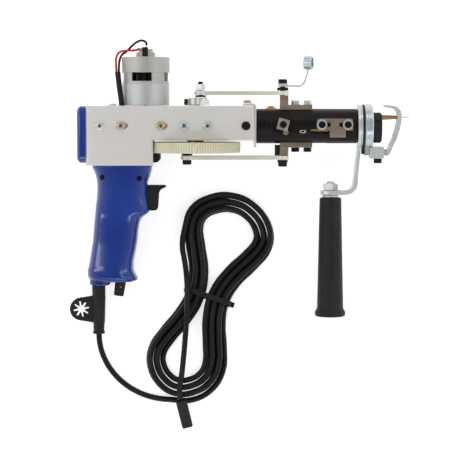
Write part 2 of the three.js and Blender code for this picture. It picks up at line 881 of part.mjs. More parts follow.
function makeShaft() {
  const wheel = flat(toothed(teeth.gear, 0), -gearBottom, -gear.level);
  const bore = turnedY(pin(gear.bore, -gearBottom - overrun, 0), sides.small);
  place("drive_gear", cut(wheel, bore), finishes.nylon);
  place("main_shaft", turnedY(pin(shaft.radius, -gearBottom + fit, shaft.top), sides.small), finishes.zinc);
  const high = housing.top + bush.rise;
  const upper = turnedY(
    [
      [shaft.radius + fit, high],
      [shaft.radius + fit, housing.top - housing.sheet - fit - bush.flangeHeight],
      [bush.flange, housing.top - housing.sheet - fit - bush.flangeHeight],
      [bush.flange, housing.top - housing.sheet - fit],
      [bush.radius, housing.top - housing.sheet - fit],
      [bush.radius, high],
      [shaft.radius + fit, high],
    ],
    sides.small,
  );
  place("upper_bush", upper, finishes.brass);
  const low = -gear.level + fit;
  const seat = -housing.floor + housing.sheet + fit;
  const lower = turnedY(
    [
      [shaft.radius + fit, low],
      [bush.radius, low],
      [bush.radius, seat],
      [bush.flange, seat],
      [bush.flange, seat + bush.flangeHeight],
      [shaft.radius + fit, seat + bush.flangeHeight],
      [shaft.radius + fit, low],
    ],
    sides.small,
  );
  place("lower_bush", lower, finishes.brass);
}

// Crank block on the top of the main shaft
function makeCrank() {
  const low = housing.top + bush.rise + fit;
  const high = low + crank.height;
  const hub = turnedY(headProfile(crank.hub, low, high, capHead.edge), sides.medium);
  const boss = turnedY(pin(crank.boss, high - crank.bossHeight, high), sides.medium, crank.upperRadius);
  const nut = flat(hexagon(crank.nut), low, low + crank.nutHeight, crank.nutOffset);
  const bore = turnedY(pin(shaft.radius + fit, low - overrun, shaft.top + fit), sides.small);
  place("crank_block", cut(join(hub, boss, nut), bore), finishes.zinc);
  const seat = -crank.hub - fit;
  const level = low + crank.clampScrew;
  const head = headProfile(crank.clampScrew, seat, seat - crank.clampHead, capHead.edge);
  const screw = turnedX(head, sides.small, level);
  place("crank_clamp_screw", screw, finishes.blackSteel);
}

// Connecting rods
function linkOutline(length) {
  const reach = Math.asin(rod.width / 2 / rod.eye);
  const shape = new THREE.Shape();
  shape.absarc(0, 0, rod.eye, reach, 2 * Math.PI - reach, false);
  shape.absarc(length, 0, rod.eye, Math.PI + reach, Math.PI - reach, false);
  shape.closePath();
  for (const x of [0, length]) {
    const hole = new THREE.Path();
    hole.absarc(x, 0, rod.hole, 0, 2 * Math.PI, true);
    shape.holes.push(hole);
  }
  return shape;
}

function makeRods() {
  const wristX = wristPlace();
  const half = rod.thickness / 2;
  const upper = flat(linkOutline(wristX - crank.upperRadius), upperRodLevel - half, upperRodLevel + half);
  place("upper_rod", upper.translate([crank.upperRadius, 0, 0]), finishes.zinc);
  const lower = flat(linkOutline(wristX + crank.lowerRadius), -lowerRodLevel - half, -lowerRodLevel + half);
  place("lower_rod", lower.translate([-crank.lowerRadius, 0, 0]), finishes.zinc);
  makeCrankScrews(half);
  makeUpperWrist(wristX, half);
  makeLowerWrist(wristX, half);
}

function makeCrankScrews(half) {
  const floor = upperRodLevel - half - fit;
  const top = upperRodLevel + half + fit;
  const nutSeat = top + rodNut.washerHeight;
  const bolt = join(
    turnedY(pin(rod.washer, floor - rod.washerHeight + fit, floor), sides.small, crank.upperRadius),
    turnedY(pin(rod.screw, floor - fit, nutSeat + rodNut.height + rodNut.boltEnd), sides.small, crank.upperRadius),
    turnedY(pin(rod.washer - fit, top, nutSeat), sides.small, crank.upperRadius),
    flat(hexagon(rodNut.flats), nutSeat, nutSeat + rodNut.height, crank.upperRadius),
  );
  place("upper_crank_bolt", bolt, finishes.zinc);
  const roof = -lowerRodLevel + half + fit;
  const under = -lowerRodLevel - half - fit;
  const screw = join(
    turnedY(pin(rod.washer, roof, roof + rod.washerHeight), sides.small, -crank.lowerRadius),
    turnedY(pin(rod.screw, under - fit, roof + fit), sides.small, -crank.lowerRadius),
    turnedY(headProfile(capHead.radius, under, under - capHead.height, capHead.edge), sides.small, -crank.lowerRadius),
  );
  place("lower_crank_screw", screw, finishes.blackSteel);
}

function upperWristLevels(half) {
  const spacerLow = upperRodLevel + half + fit;
  const wireLow = spacerLow + wrist.spacer;
  const headLow = wireLow + wrist.washers;
  return { spacerLow, wireLow, headLow };
}

function makeUpperWrist(wristX, half) {
  const { spacerLow, wireLow, headLow } = upperWristLevels(half);
  const sunk = upperRodLevel - half - fit - rod.thickness;
  const screw = join(
    turnedY(pin(rod.screw, sunk, headLow + fit), sides.small, wristX),
    turnedY(pin(wrist.spacerRadius, spacerLow, wireLow), sides.small, wristX),
    turnedY(pin(wrist.washerRadius, headLow - fit, headLow), sides.small, wristX),
    turnedY(headProfile(capHead.radius, headLow, headLow + capHead.height, capHead.edge), sides.small, wristX),
  );
  place("upper_wrist_screw", screw, finishes.blackSteel);
  makeYarnGuide(wristX, (wireLow + headLow - fit) / 2);
}

function makeLowerWrist(wristX, half) {
  const under = -lowerRodLevel - half - fit;
  const washerLow = under - rod.washerHeight;
  const sunk = -lowerRodLevel + half + fit + rod.thickness;
  const screw = join(
    turnedY(pin(rod.screw, washerLow, sunk), sides.small, wristX),
    turnedY(pin(rod.washer, washerLow, under), sides.small, wristX),
    turnedY(headProfile(capHead.radius, washerLow, washerLow - capHead.height, capHead.edge), sides.small, wristX),
  );
  place("lower_wrist_screw", screw, finishes.blackSteel);
}

// Yarn guide: an eye of wire round the wrist screw, a run to the front, a rise and the eyelet on it
function makeYarnGuide(wristX, level) {
  const wireHalf = guide.wire / 2;
  const ringRows = sleeveProfile(rod.screw + fit, guide.eyeRadius, level - wireHalf, level + wireHalf);
  const eye = turnedY(ringRows, sides.small, wristX);
  const corner = wristX + guide.along;
  const top = level + guide.rise;
  const wire = solid(
    swept(
      smooth([
        [wristX + guide.eyeRadius - wireHalf, level, 0],
        [wristX + guide.along / 2, level, 0],
        [corner, level, 0],
        [corner + guide.bend / 2, level + guide.bend / 2, 0],
        [corner + guide.lean / 2 + guide.bend / 4, level + guide.rise / 2, 0],
        [corner + guide.lean, top + guide.wire, 0],
      ]),
      guide.wire,
      sides.wire,
      guide.steps,
    ),
  );
  const eyeletHalf = guide.eyeletLength / 2;
  const eyelet = turned(sleeveProfile(guide.bore, guide.eyelet, -eyeletHalf, eyeletHalf), sides.small);
  const tilted = eyelet.rotateZ(-Math.PI / 2).rotateY(-degrees(guide.turn));
  const seated = solid(tilted.translate(corner + guide.lean, top + guide.eyelet, 0));
  place("yarn_guide", join(eye, wire, seated), finishes.zinc);
}

// Front plate
function makeFrontPlate() {
  const low = housing.top + fit;
  const high = low + frontPlate.thickness;
  const rear = plateFace - frontPlate.top;
  const face = plateFace - frontPlate.thickness;
  const shape = new THREE.Shape();
  shape.moveTo(rear, low);
  shape.lineTo(face, low);
  shape.lineTo(face, -frontPlate.drop);
  shape.lineTo(plateFace, -frontPlate.drop);
  shape.lineTo(plateFace, high - frontPlate.bend);
  shape.absarc(plateFace - frontPlate.bend, high - frontPlate.bend, frontPlate.bend, 0, Math.PI / 2, false);
  shape.lineTo(rear, high);
  shape.closePath();
  place("front_plate", across(shape, frontPlate.width), finishes.brushed);
  const x = rear + domeScrew.radius;
  const seat = high + fit;
  const rows = domeShares.map(([out, up]) => [out * domeScrew.radius, seat + up * domeScrew.height]);
  const dome = turnedY(rows, sides.small, x);
  place("front_plate_screw", dome, finishes.brass);
}

// Barrel, with slots for the brackets, a side slot and a flat for the height plate
function screwPlaces() {
  const rear = barrelRear + bracket.rear;
  return bracketScrewShares.map((share) => rear + share * bracket.length);
}

function makeBarrel() {
  const tube = turnedX(
    [
      [0, barrelRear],
      [barrel.radius, barrelRear],
      [barrel.radius, shoulder - barrel.edge],
      [barrel.radius - barrel.edge, shoulder],
      [barrel.neck, shoulder],
      [barrel.neck, neckEnd],
      [barrel.bore, neckEnd],
      [barrel.bore, barrelRear + barrel.plug],
      [0, barrelRear + barrel.plug],
    ],
    sides.large,
  );
  const [first, second] = screwPlaces();
  const ease = bracketScrew.shank + 2 * fit;
  const half = barrel.slotWidth / 2;
  const wall = barrel.radius + overrun;
  const topSlot = box(first - stroke.looper - ease, second + ease, slider.split, wall, -half, half);
  const lowSlot = box(first - ease, second + stroke.needle + ease, -wall, -slider.split, -half, half);
  const sideHalf = barrel.sideSlotHeight / 2;
  const sideSlot = box(
    first - ease,
    second + stroke.needle + ease,
    -barrel.sideSlotLevel - sideHalf,
    -barrel.sideSlotLevel + sideHalf,
    0,
    wall,
  );
  const teeRear = teePlace();
  const flats = [
    box(teeRear - fit, teeRear + tee.length + fit, -wall, wall, barrel.flat, wall),
    box(wristPlace() - squareNut.side, wristPlace() + squareNut.side, -wall, wall, barrel.flat, wall),
  ];
  const holes = teeScrewPlaces().map((x) =>
    turnedZ(pin(teeScrew.hole, 0, wall), sides.tiny, x, tee.level));
  const grease = turnedY(
    [
      [0, barrel.bore],
      [greaseCap.radius, barrel.bore],
      [greaseCap.radius, barrel.radius + greaseCap.shoulder],
      [greaseCap.radius / 2, barrel.radius + greaseCap.height],
      [0, barrel.radius + greaseCap.height],
    ],
    sides.small,
    barrelRear + greaseCap.place,
  ).rotate([-greaseCap.turn, 0, 0]);
  const open = cut(tube, topSlot, lowSlot, sideSlot, ...flats, ...holes);
  const bore = turnedX(pin(barrel.bore, barrelRear + barrel.plug, neckEnd), sides.large);
  place("barrel", join(open, cut(grease, bore)), finishes.blackSteel);
}

function wristPlace() {
  return barrelRear + wrist.rear;
}

function makeLockNut() {
  const seat = barrel.flat + fit;
  const x = wristPlace();
  const nut = new THREE.BoxGeometry(squareNut.side, squareNut.side, squareNut.height);
  nut.rotateZ(degrees(-squareNut.turn)).translate(x, squareNut.level, seat + squareNut.height / 2);
  const top = seat + squareNut.height + squareNut.screwHeight;
  const head = headProfile(squareNut.screw, seat + fit, top, capHead.edge);
  const screw = turnedZ(head, sides.small, x, squareNut.level);
  const small = extruded(hexagon(lockScrew.flats), lockScrew.height);
  small.translate(x + lockScrew.ahead, squareNut.level - lockScrew.below, seat);
  place("lock_nut", join(solid(nut), screw, solid(small)), finishes.zinc);
}

// Height plate
function teePlace() {
  return shoulder - tee.behindShoulder - tee.length;
}

function teeScrewPlaces() {
  const rear = teePlace();
  const margin = tee.slot + fit;
  return [rear + margin, rear + tee.length - margin];
}

function makeHeightPlate() {
  const rear = teePlace();
  const front = rear + tee.length;
  const top = tee.level + tee.height / 2;
  const low = tee.level - tee.height / 2;
  const tabRear = rear + tee.tabPlace;
  const shape = outline([
    [rear, low],
    [tabRear, low],
    [tabRear, low - tee.tabDrop],
    [tabRear + tee.tabWidth, low - tee.tabDrop],
    [tabRear + tee.tabWidth, low],
    [front, low],
    [front, top - tee.corner],
    [front - tee.corner, top],
    [rear + tee.corner, top],
    [rear, top - tee.corner],
  ]);
  const half = tee.slot / 2;
  for (const end of [rear + tee.corner + fit, front - tee.corner - fit - tee.slotLength]) {
    const slot = new THREE.Path();
    slot.absarc(end + half, tee.level, half, 1.5 * Math.PI, Math.PI / 2, true);
    slot.absarc(end + tee.slotLength - half, tee.level, half, Math.PI / 2, -Math.PI / 2, true);
    slot.closePath();
    shape.holes.push(slot);
  }
  const seat = barrel.flat + fit;
  const plate = solid(extruded(shape, tee.thickness).translate(0, 0, seat));
  place("height_plate", plate, finishes.brownSteel);
  const face = seat + tee.thickness + fit;
  ["rear", "front"].forEach((end, i) => {
    const x = teeScrewPlaces()[i];
    const washerTop = face + teeScrew.washerHeight;
    const head = headProfile(teeScrew.radius, washerTop, washerTop + teeScrew.height, capHead.edge);
    const screw = join(
      turnedZ(pin(teeScrew.shank, barrel.bore + fit, washerTop), sides.tiny, x, tee.level),
      turnedZ(pin(teeScrew.washer, face, washerTop), sides.small, x, tee.level),
      turnedZ(head, sides.small, x, tee.level),
    );
    place("height_screw_" + end, screw, finishes.blackSteel);
  });
}

// Sliding bars
function barSegment(x0, x1, side) {
  const round = turnedX(pin(slider.radius, x0, x1), sides.large);
  const low = side > 0 ? slider.split : -slider.flat;
  const high = side > 0 ? slider.flat : -slider.split;
  return round.intersect(box(x0 - overrun, x1 + overrun, low, high, -slider.radius, slider.radius));
}

function makeNeedleBar() {
  const rear = barrelRear + needleBar.rear;
  const front = barrelRear + needleBar.front;
  const holderFront = front + needleBar.holder;
  const half = needleBar.holderWidth / 2;
  const holder = box(front - fit, holderFront, -needleBar.holderDrop, needleBar.holderTop, -half, half);
  const bore = turnedX(pin(needle.radius + fit, front - overrun, holderFront + overrun), sides.small, needle.level);
  place("needle_bar", cut(join(barSegment(rear, front, -1), holder), bore), finishes.bronze);
  const root = front + fit;
  const tip = root + needle.length;
  const tube = turnedX(
    [
      [needle.bore, root],
      [needle.radius, root],
      [needle.radius, tip - needle.taper],
      [needle.tip, tip],
      [needle.bore, tip],
      [needle.bore, root],
    ],
    sides.small,
    needle.level,
  );
  const slant = new THREE.BoxGeometry(2 * needle.cut, 2 * needle.cut, 2 * needle.cut);
  slant.rotateZ(degrees(-45)).translate(tip + needle.cut, needle.level + needle.cut, 0);
  place("needle", cut(tube, solid(slant)), finishes.bronze);
}

function makeLooper() {
  const rear = barrelRear + looperBar.rear;
  const front = barrelRear + looperBar.front;
  const level = needle.level + looper.above;
  const seat = turnedX(pin(looper.radius + fit, front - looper.seat - fit, front + overrun), sides.tiny, level);
  place("looper_bar", cut(barSegment(rear, front, 1), seat), finishes.zinc);
  const root = front - looper.seat;
  const wire = turnedX(pin(looper.radius, root, root + looper.length), sides.tiny, level);
  place("looper_wire", wire, finishes.zinc);
}

// Brackets
function bracketSolid(side, seat, postEnd) {
  const rear = barrelRear + bracket.rear;
  const shape = outline([
    [rear, side * seat],
    [rear + bracket.length, side * seat],
    [rear + bracket.length, side * (seat + bracket.foot)],
    [rear + bracket.post, side * (seat + bracket.foot)],
    [rear + bracket.post, side * postEnd],
    [rear, side * postEnd],
  ]);
  const shank = slider.flat + fit;
  let whole = across(shape, bracket.width);
  for (const x of screwPlaces()) {
    const top = seat + bracket.foot;
    const [from, to] = [side * (top - fit), side * (top + bracketScrew.height)];
    const head = headProfile(bracketScrew.radius, from, to, capHead.edge);
    const spindle = pin(bracketScrew.shank, side * shank, from);
    whole = join(whole, turnedY(head, sides.wire, x), turnedY(spindle, sides.tiny, x));
  }
  return whole;
}

function makeBrackets() {
  const seat = barrel.radius + bracket.clear;
  const half = rod.thickness / 2;
  const wristX = wristPlace();
  const upperPost = upperRodLevel - half - fit;
  const lowerPost = lowerRodLevel - half - fit;
  const hole = (from, to) => turnedY(pin(rod.hole, from, to), sides.small, wristX);
  const sunk = rod.thickness + fit;
  const upper = cut(bracketSolid(1, seat, upperPost), hole(upperPost - sunk, upperPost + overrun));
  place("upper_bracket", upper, finishes.brownSteel);
  const rear = barrelRear + bracket.rear;
  const wide = bumper.width / 2;
  const buffer = box(rear - bumper.thickness, rear, -lowerPost, -lowerPost + bumper.height, -wide, wide);
  const lower = cut(join(bracketSolid(-1, seat, lowerPost), buffer), hole(-lowerPost - overrun, -lowerPost + sunk));
  place("lower_bracket", lower, finishes.brownSteel);
}

// Front end
function annulus(outer, from, to, edge = 0) {
  const inner = barrel.neck + ring.clear;
  const profile = [
    [inner, from],
    [outer - edge, from],
    [outer, from + edge],
    [outer, to - edge],
    [outer - edge, to],
    [inner, to],
    [inner, from],
  ];
  return turnedX(edge ? profile : sleeveProfile(inner, outer, from, to), sides.large);
}

const ringRear = shoulder + fit;
const gasketRear = ringRear + ring.thickness + fit;
const collarRear = gasketRear + gasket.thickness + fit;
const collarFront = collarRear + collar.thickness;

function makeFrontEnd() {
  const gasketFront = gasketRear + gasket.thickness;
  const half = gasket.tongueWidth / 2;
  const tongue = box(gasketRear, gasketFront, -gasket.tongueDrop, -barrel.neck - fit - overrun, -half, half);
  place("collar_gasket", join(annulus(ring.radius - fit, gasketRear, gasketFront), tongue), finishes.rubber);
  const lugFront = collarRear + collar.lugLength;
  const lugHalf = collar.lugWidth / 2;
  const lug = box(collarRear, lugFront, -collar.lugDrop, -barrel.neck - fit - overrun, -lugHalf, lugHalf);
  place("front_collar", join(annulus(ring.radius, collarRear, collarFront, collar.edge), lug), finishes.brushed);
  const noseRear = collarFront + fit;
  const noseFront = noseRear + nose.length;
  const disc = turnedX(headProfile(nose.radius, noseRear, noseFront, nose.edge), sides.medium, nose.level);
  const eye = turnedX(pin(nose.hole, noseRear - overrun, noseFront + overrun), sides.small, needle.level);
  place("nose_ring", cut(disc, eye), finishes.blackPlastic);
  makeFootClamp(lugFront + fit);
}

function makeFootClamp(rear) {
  const front = rear + clamp.length;
  const half = clamp.width / 2;
  const underCollar = ring.radius + fit;
  const body = join(
    box(rear, front, -clamp.drop, -underCollar, -half, half),
    box(collarFront + fit, front, -underCollar - fit, -clamp.top, -half, half),
  );
  const pocket = footBar.thickness / 2 + fit;
  const pocketHalf = footBar.shankWidth / 2 + fit;
  const socket = box(rear + clamp.inset, front + overrun, -footBar.level - pocket, -footBar.level + pocket,
    -pocketHalf, pocketHalf);
  const screwX = rear + clamp.screwPlace;
  const tap = turnedY(pin(clampScrew.shank + fit, -clamp.drop - overrun, -footBar.level), sides.small, screwX);
  place("foot_clamp", cut(body, socket, tap), finishes.zinc);
  const seat = -clamp.drop - fit;
  const screw = join(
    turnedY(headProfile(clampScrew.radius, seat, seat - clampScrew.height, capHead.edge), sides.small, screwX),
    turnedY(pin(clampScrew.shank, seat - fit, -footBar.level - pocket), sides.small, screwX),
  );
  place("foot_clamp_screw", screw, finishes.blackSteel);
  makePresserFoot(front);
}

// Presser foot: a bent bar whose front part is a fork round the needle
function makePresserFoot(clampFront) {
  const rear = clampFront - footBar.sunk;
  const route = footRouteShares.map(([out, up]) => [
    clampFront + out * footBar.reach,
    -footBar.level + up * footBar.rise,
  ]);
  const curve = new THREE.CatmullRomCurve3(
    route.map(([x, y]) => new THREE.Vector3(x, y, 0)),
    false,
    "centripetal",
  );
  const half = footBar.thickness / 2;
  const outer = [[rear, -footBar.level - half]];
  const inner = [[rear, -footBar.level + half]];
  for (let i = 0; i <= footBar.steps; i++) {
    const point = curve.getPointAt(i / footBar.steps);
    const along = curve.getTangentAt(i / footBar.steps);
    outer.push([point.x + along.y * half, point.y - along.x * half]);
    inner.push([point.x - along.y * half, point.y + along.x * half]);
  }
  const profile = outline([...outer, ...inner.reverse()]);
  const prong = footBar.slot / 2;
  const front = clampFront + 2 * footBar.reach;
  const fork = box(rear - overrun, front, -footBar.slotLow, housing.width, -prong, prong);
  const shankHalf = footBar.shankWidth / 2;
  const shankFront = clampFront + footBar.travel + 2 * fit;
  const sidesCut = [1, -1].map((side) => {
    const [z0, z1] = [side * shankHalf, side * footBar.width];
    return box(rear - overrun, shankFront, -housing.width, -clamp.top - fit, Math.min(z0, z1), Math.max(z0, z1));
  });
  place("presser_foot", cut(across(profile, footBar.width), fork, ...sidesCut), finishes.zinc);
}

// Front handle: a ring round the barrel's neck, a bar bent at its foot, and a grip bolted under it
function makeHandle() {
  const ringFront = ringRear + ring.thickness;
  const eye = annulus(ring.radius, ringRear, ringFront);
  const low = -handle.length;
  const lean = handle.lean;
  const radius = handle.bend;
  const t = handle.thickness;
  const start = -barrel.neck - ring.clear - fit;
  const rear = ringRear - lean;
  const shape = new THREE.Shape();
  shape.moveTo(ringFront, start);
  shape.lineTo(ringRear, start);
  shape.lineTo(rear - t + ring.thickness, low + t + radius);
  shape.absarc(rear - t + ring.thickness - radius, low + t + radius, radius, 0, -Math.PI / 2, true);
  shape.lineTo(gripX(), low + t);
  shape.lineTo(gripX(), low);
  shape.lineTo(rear + ring.thickness - t - radius, low);
  shape.absarc(rear + ring.thickness - t - radius, low + t + radius, radius + t, -Math.PI / 2, 0, false);
  shape.closePath();
  const bar = across(shape, handle.width);
  const pad = turnedY(pin(handle.width / 2, low, low + t), sides.medium, gripX());
  const hole = turnedY(pin(handleBolt.radius + fit, low - overrun, low + t + overrun), sides.small, gripX());
  const neckHole = turnedX(pin(barrel.neck + ring.clear, ringRear - overrun, ringFront + overrun), sides.large);
  place("handle_bracket", cut(join(eye, bar, pad), hole, neckHole), finishes.zinc, swinging);
  makeHandleGrip(low);
}

function gripX() {
  return ringRear - handle.reach;
}

function makeHandleGrip(low) {
  const top = -handle.gripTop;
  const end = top - handle.gripLength;
  const flangeTop = end + handle.flangeHeight;
  const sunk = low - handleBolt.sunk;
  const body = turnedY(
    [
      [handleBolt.radius + fit, top],
      [handle.gripRadius - handle.round, top],
      [handle.gripRadius, top - handle.round],
      [handle.gripLow, flangeTop + handle.neckHeight],
      [handle.flange, flangeTop],
      [handle.flange, end + handle.round],
      [handle.flange - handle.round, end],
      [0, end],
      [0, sunk - fit],
      [handleBolt.radius + fit, sunk - fit],
      [handleBolt.radius + fit, top],
    ],
    sides.medium,
    gripX(),
  );
  place("handle_grip", body, finishes.rubber, swinging);
  const plateTop = low + handle.thickness;
  const nutLow = plateTop + fit;
  const bolt = join(
    turnedY(pin(handleBolt.radius, sunk, plateTop + handleBolt.rise), sides.small, gripX()),
    flat(hexagon(handleBolt.flats), nutLow, nutLow + handleBolt.nut, gripX()),
    turnedY(pin(handleBolt.washer, top + fit, low - fit), sides.small, gripX()),
  );
  place("handle_bolt", bolt, finishes.zinc, swinging);
}

// Pistol grip
function gripRing([down, rearShare, frontShare, halfShare], inset) {
  const level = gripTop - down * grip.length;
  const rear = -grip.rear + rearShare * grip.reach + inset;
  const front = -grip.rear + frontShare * grip.reach - inset;
  const half = halfShare * grip.half - inset;
  const [middle, reach] = [(rear + front) / 2, (front - rear) / 2];
  const points = [];
  for (let i = 0; i < grip.points; i++) {
    const angle = (2 * Math.PI * i) / grip.points;
    const [c, s] = [Math.cos(angle), Math.sin(angle)];
    const x = Math.sign(c) * Math.abs(c) ** (2 / squareness);
    const z = Math.sign(s) * Math.abs(s) ** (2 / squareness);
    points.push(new THREE.Vector3(middle + reach * x, level, half * z));
  }
  return points;
}

function gripBosses(half) {
  return gripScrewShares.map(([along, down]) => {
    const x = -grip.rear + along * grip.reach;
    const y = gripTop - down * grip.length;
    return turnedZ(pin(gripScrew.boss, grip.seam, half), sides.tiny, x, y);
  });
}

function switchCentre() {
  const x = -grip.rear + switchBody.rear + switchBody.length / 2;
  return [x, gripTop - switchBody.down - switchBody.height / 2];
}

function makeGrip() {
  const outer = solid(skin(gripRowShares.map((row) => gripRing(row, 0))));
  const last = gripRowShares.length - 2;
  const innerRows = gripRowShares.slice(0, last).map((row) => gripRing(row, grip.wall));
  innerRows[0].forEach((point) => point.setY(gripTop + overrun));
  const inner = solid(skin(innerRows));
  const tierX = -grip.rear + collarTier.place;
  const tierTop = gripBottom + 2 * collarTier.height;
  const tierHead = headProfile(collarTier.radius, tierTop, gripBottom - collarTier.height, collarTier.edge);
  const tier = turnedY(tierHead, sides.medium, tierX);
  const mouth = trigger.width / 2 + fit;
  const opening = box(
    -grip.rear + trigger.root - trigger.travel - overrun,
    0,
    gripTop - trigger.down - trigger.height - fit,
    gripTop - trigger.down + fit,
    -mouth,
    mouth,
  );
  const [switchX, switchY] = switchCentre();
  const shell = cut(join(outer, tier), inner, opening);
  const far = grip.half + overrun;
  for (const [name, side] of [
    ["grip_right", 1],
    ["grip_left", -1],
  ]) {
    const [z0, z1] = [side * grip.seam, side * far];
    const room = box(-2 * grip.rear, 0, 2 * gripBottom, 0, Math.min(z0, z1), Math.max(z0, z1));
    const posts = gripBosses(grip.half - grip.wall / 2);
    const postPin = pin(switchBody.boss, switchBody.half + fit, grip.half - grip.wall);
    posts.push(turnedZ(postPin, sides.tiny, switchX, switchY));
    const turnedPosts = posts.map((post) => (side > 0 ? post : post.mirror([0, 0, 1])));
    const within = outer.intersect(room);
    let half = join(shell.intersect(room), ...turnedPosts.map((post) => post.intersect(within)));
    half = gripFasteners(half, side);
    place(name, half, finishes.bluePlastic);
  }
}

function gripFasteners(half, side) {
  let made = half;
  for (const [along, down] of gripScrewShares) {
    const x = -grip.rear + along * grip.reach;
    const y = gripTop - down * grip.length;
    const seat = grip.half - gripScrew.depth - grip.wall;
    const far = grip.half + overrun;
    if (side > 0) {
      made = cut(
        made,
        turnedZ(pin(gripScrew.recess, seat, far), sides.small, x, y),
        turnedZ(pin(gripScrew.hole, -fit, far), sides.small, x, y),
      );
    } else {
      const head = seat + fit;
      const headTop = head + gripScrew.depth / 2;
      made = join(
        made,
        turnedZ(pin(gripScrew.shank, -gripScrew.boss, head + fit), sides.tiny, x, y),
        turnedZ(headProfile(gripScrew.head, head, headTop, gripScrew.bossWall), sides.small, x, y),
      );
    }
  }
  return made;
}

// Trigger, switch and spring
function makeTrigger() {
  const top = gripTop - trigger.down;
  const low = top - trigger.height;
  const corner = triggerShares.corner * trigger.height;
  const [root, nose, horn] = [trigger.root, trigger.nose, trigger.horn].map((along) => -grip.rear + along);
  const near = (x, [along, up]) => [x + along * corner, top + up * corner];
  const shape = new THREE.Shape();
  shape.moveTo(root, low);
  shape.lineTo(nose - corner, low);
  shape.quadraticCurveTo(nose, low, nose, low + corner);
  shape.lineTo(...near(nose, triggerShares.noseTop));
  shape.quadraticCurveTo(...near(nose, triggerShares.hollow), ...near(horn, triggerShares.hornFront));
  shape.quadraticCurveTo(...near(horn, triggerShares.hornTip), ...near(horn, triggerShares.hornRear));
  shape.lineTo(root, top);
  shape.closePath();
  const bevel = trigger.bevel;
  const body = across(shape, trigger.width - 2 * bevel, 0, {
    bevelEnabled: true,
    bevelThickness: bevel,
    bevelSize: bevel,
    bevelOffset: -bevel,
    bevelSegments: 1,
    curveSegments: arcs.fine,
  });
  place("trigger", body, finishes.blackPlastic);
  makeSwitch(root);
}

function makeSwitch(triggerRoot) {
  const [x, y] = switchCentre();
  const [half, halfHeight] = [switchBody.length / 2, switchBody.height / 2];
  const block = box(x - half, x + half, y - halfHeight, y + halfHeight, -switchBody.half, switchBody.half);
  place("switch_body", block, finishes.blackPlastic);
  const from = x + half + fit + spring.wire / 2;
  const to = triggerRoot - fit - spring.wire / 2;
  const level = gripTop - spring.down;
  const points = [];
  const steps = spring.coils * spring.steps;
  for (let i = 0; i <= steps; i++) {
    const angle = (2 * Math.PI * i) / spring.steps;
    const along = from + ((to - from) * i) / steps;
    const [up, aside] = [spring.radius * Math.cos(angle), spring.radius * Math.sin(angle)];
    points.push(new THREE.Vector3(along, level + up, aside));
  }
  place("trigger_spring", solid(wound(points, spring.wire / 2, sides.spring)), finishes.zinc);
}

// Speed control in the grip's butt, and the knob under it
function makeSpeedControl() {
  const [rear, low] = [-grip.rear + board.inset, gripBottom + board.up];
  const [front, high] = [rear + board.length, low + board.height];
  const face = -board.thickness / 2;
  let made = box(rear, front, low, high, face, -face + board.sink);
  const pitch = (board.length - board.fin) / (board.fins - 1);
  for (let i = 0; i < board.fins; i++) {
    const x = rear + i * pitch;
    const top = -face + board.sink + board.finHeight;
    made = join(made, box(x, x + board.fin, low, high, -face + board.sink - fit, top));
  }
  place("speed_control", made, finishes.brushed);
  const points = [];
  const count = knob.ribs * 4;
  for (let i = 0; i < count; i++) {
    const radius = knob.radius - (i % 4 < 2 ? 0 : knob.rib);
    const angle = (2 * Math.PI * i) / count;
    points.push([radius * Math.cos(angle), radius * Math.sin(angle)]);
  }
  const body = extruded(outline(points), knob.length).rotateX(Math.PI / 2);
  const x = -grip.rear + knob.place;
  const lean = degrees(-knob.lean);
  const drop = fit + knob.radius * Math.sin(degrees(knob.lean));
  place("speed_knob", solid(body.rotateZ(lean).translate(x, gripBottom - drop, 0)), finishes.blackPlastic);
}

// Cord guard and key holder
function guardX() {
  return -grip.rear + cordGuard.place;
}

function makeCordGuard() {
  const top = gripBottom - collarTier.height - fit;
  const end = top - cordGuard.length;
  const flangeTop = end + cordGuard.endLength;
  const sleeveEnd = top - key.from - key.length;
  const body = turnedY(
    [
      [0, top],
      [cordGuard.top, top],
      [cordGuard.top, top - key.from + fit],
      [cordGuard.low, top - key.from - fit],
      [cordGuard.low, sleeveEnd],
      [cordGuard.low, flangeTop],
      [cordGuard.end, flangeTop - fit],
      [cordGuard.end, end],
      [0, end],
    ],
    sides.small,
    guardX(),
  );
  place("cord_guard", body, finishes.rubber);
  makeKeyHolder(top - key.from - 2 * fit, sleeveEnd + fit);
  return end;
}

function makeKeyHolder(high, low) {
  const inner = cordGuard.low + cordGuard.clear;
  const outer = inner + key.wall;
  const grasp = turnedY(sleeveProfile(inner, outer, low, high), sides.small, guardX());
  const eyeX = guardX() - key.reach;
  const eyeY = (high + low) / 2;
  const half = (high - low) / 2;
  const shape = new THREE.Shape();
  const reach = Math.asin(Math.min(1, (half * keyNeckShare) / key.eye));
  shape.moveTo(guardX() - inner, eyeY + half);
  shape.absarc(eyeX, eyeY, key.eye, reach, 2 * Math.PI - reach, false);
  shape.lineTo(guardX() - inner, eyeY - half);
  shape.closePath();
  const count = keySpokes * 4;
  const star = [];
  for (let i = 0; i < count; i++) {
    const radius = i % 4 < 2 ? key.tip : key.hub;
    const angle = (2 * Math.PI * (i + 0.5)) / count;
    star.push([eyeX + radius * Math.cos(angle), eyeY + radius * Math.sin(angle)]);
  }
  const tongue = cut(across(shape, key.thickness), across(outline(star), key.thickness + overrun));
  const clear = turnedY(pin(inner, low - overrun, high + overrun), sides.small, guardX());
  place("key_holder", cut(join(grasp, tongue), clear), finishes.rubber);
}

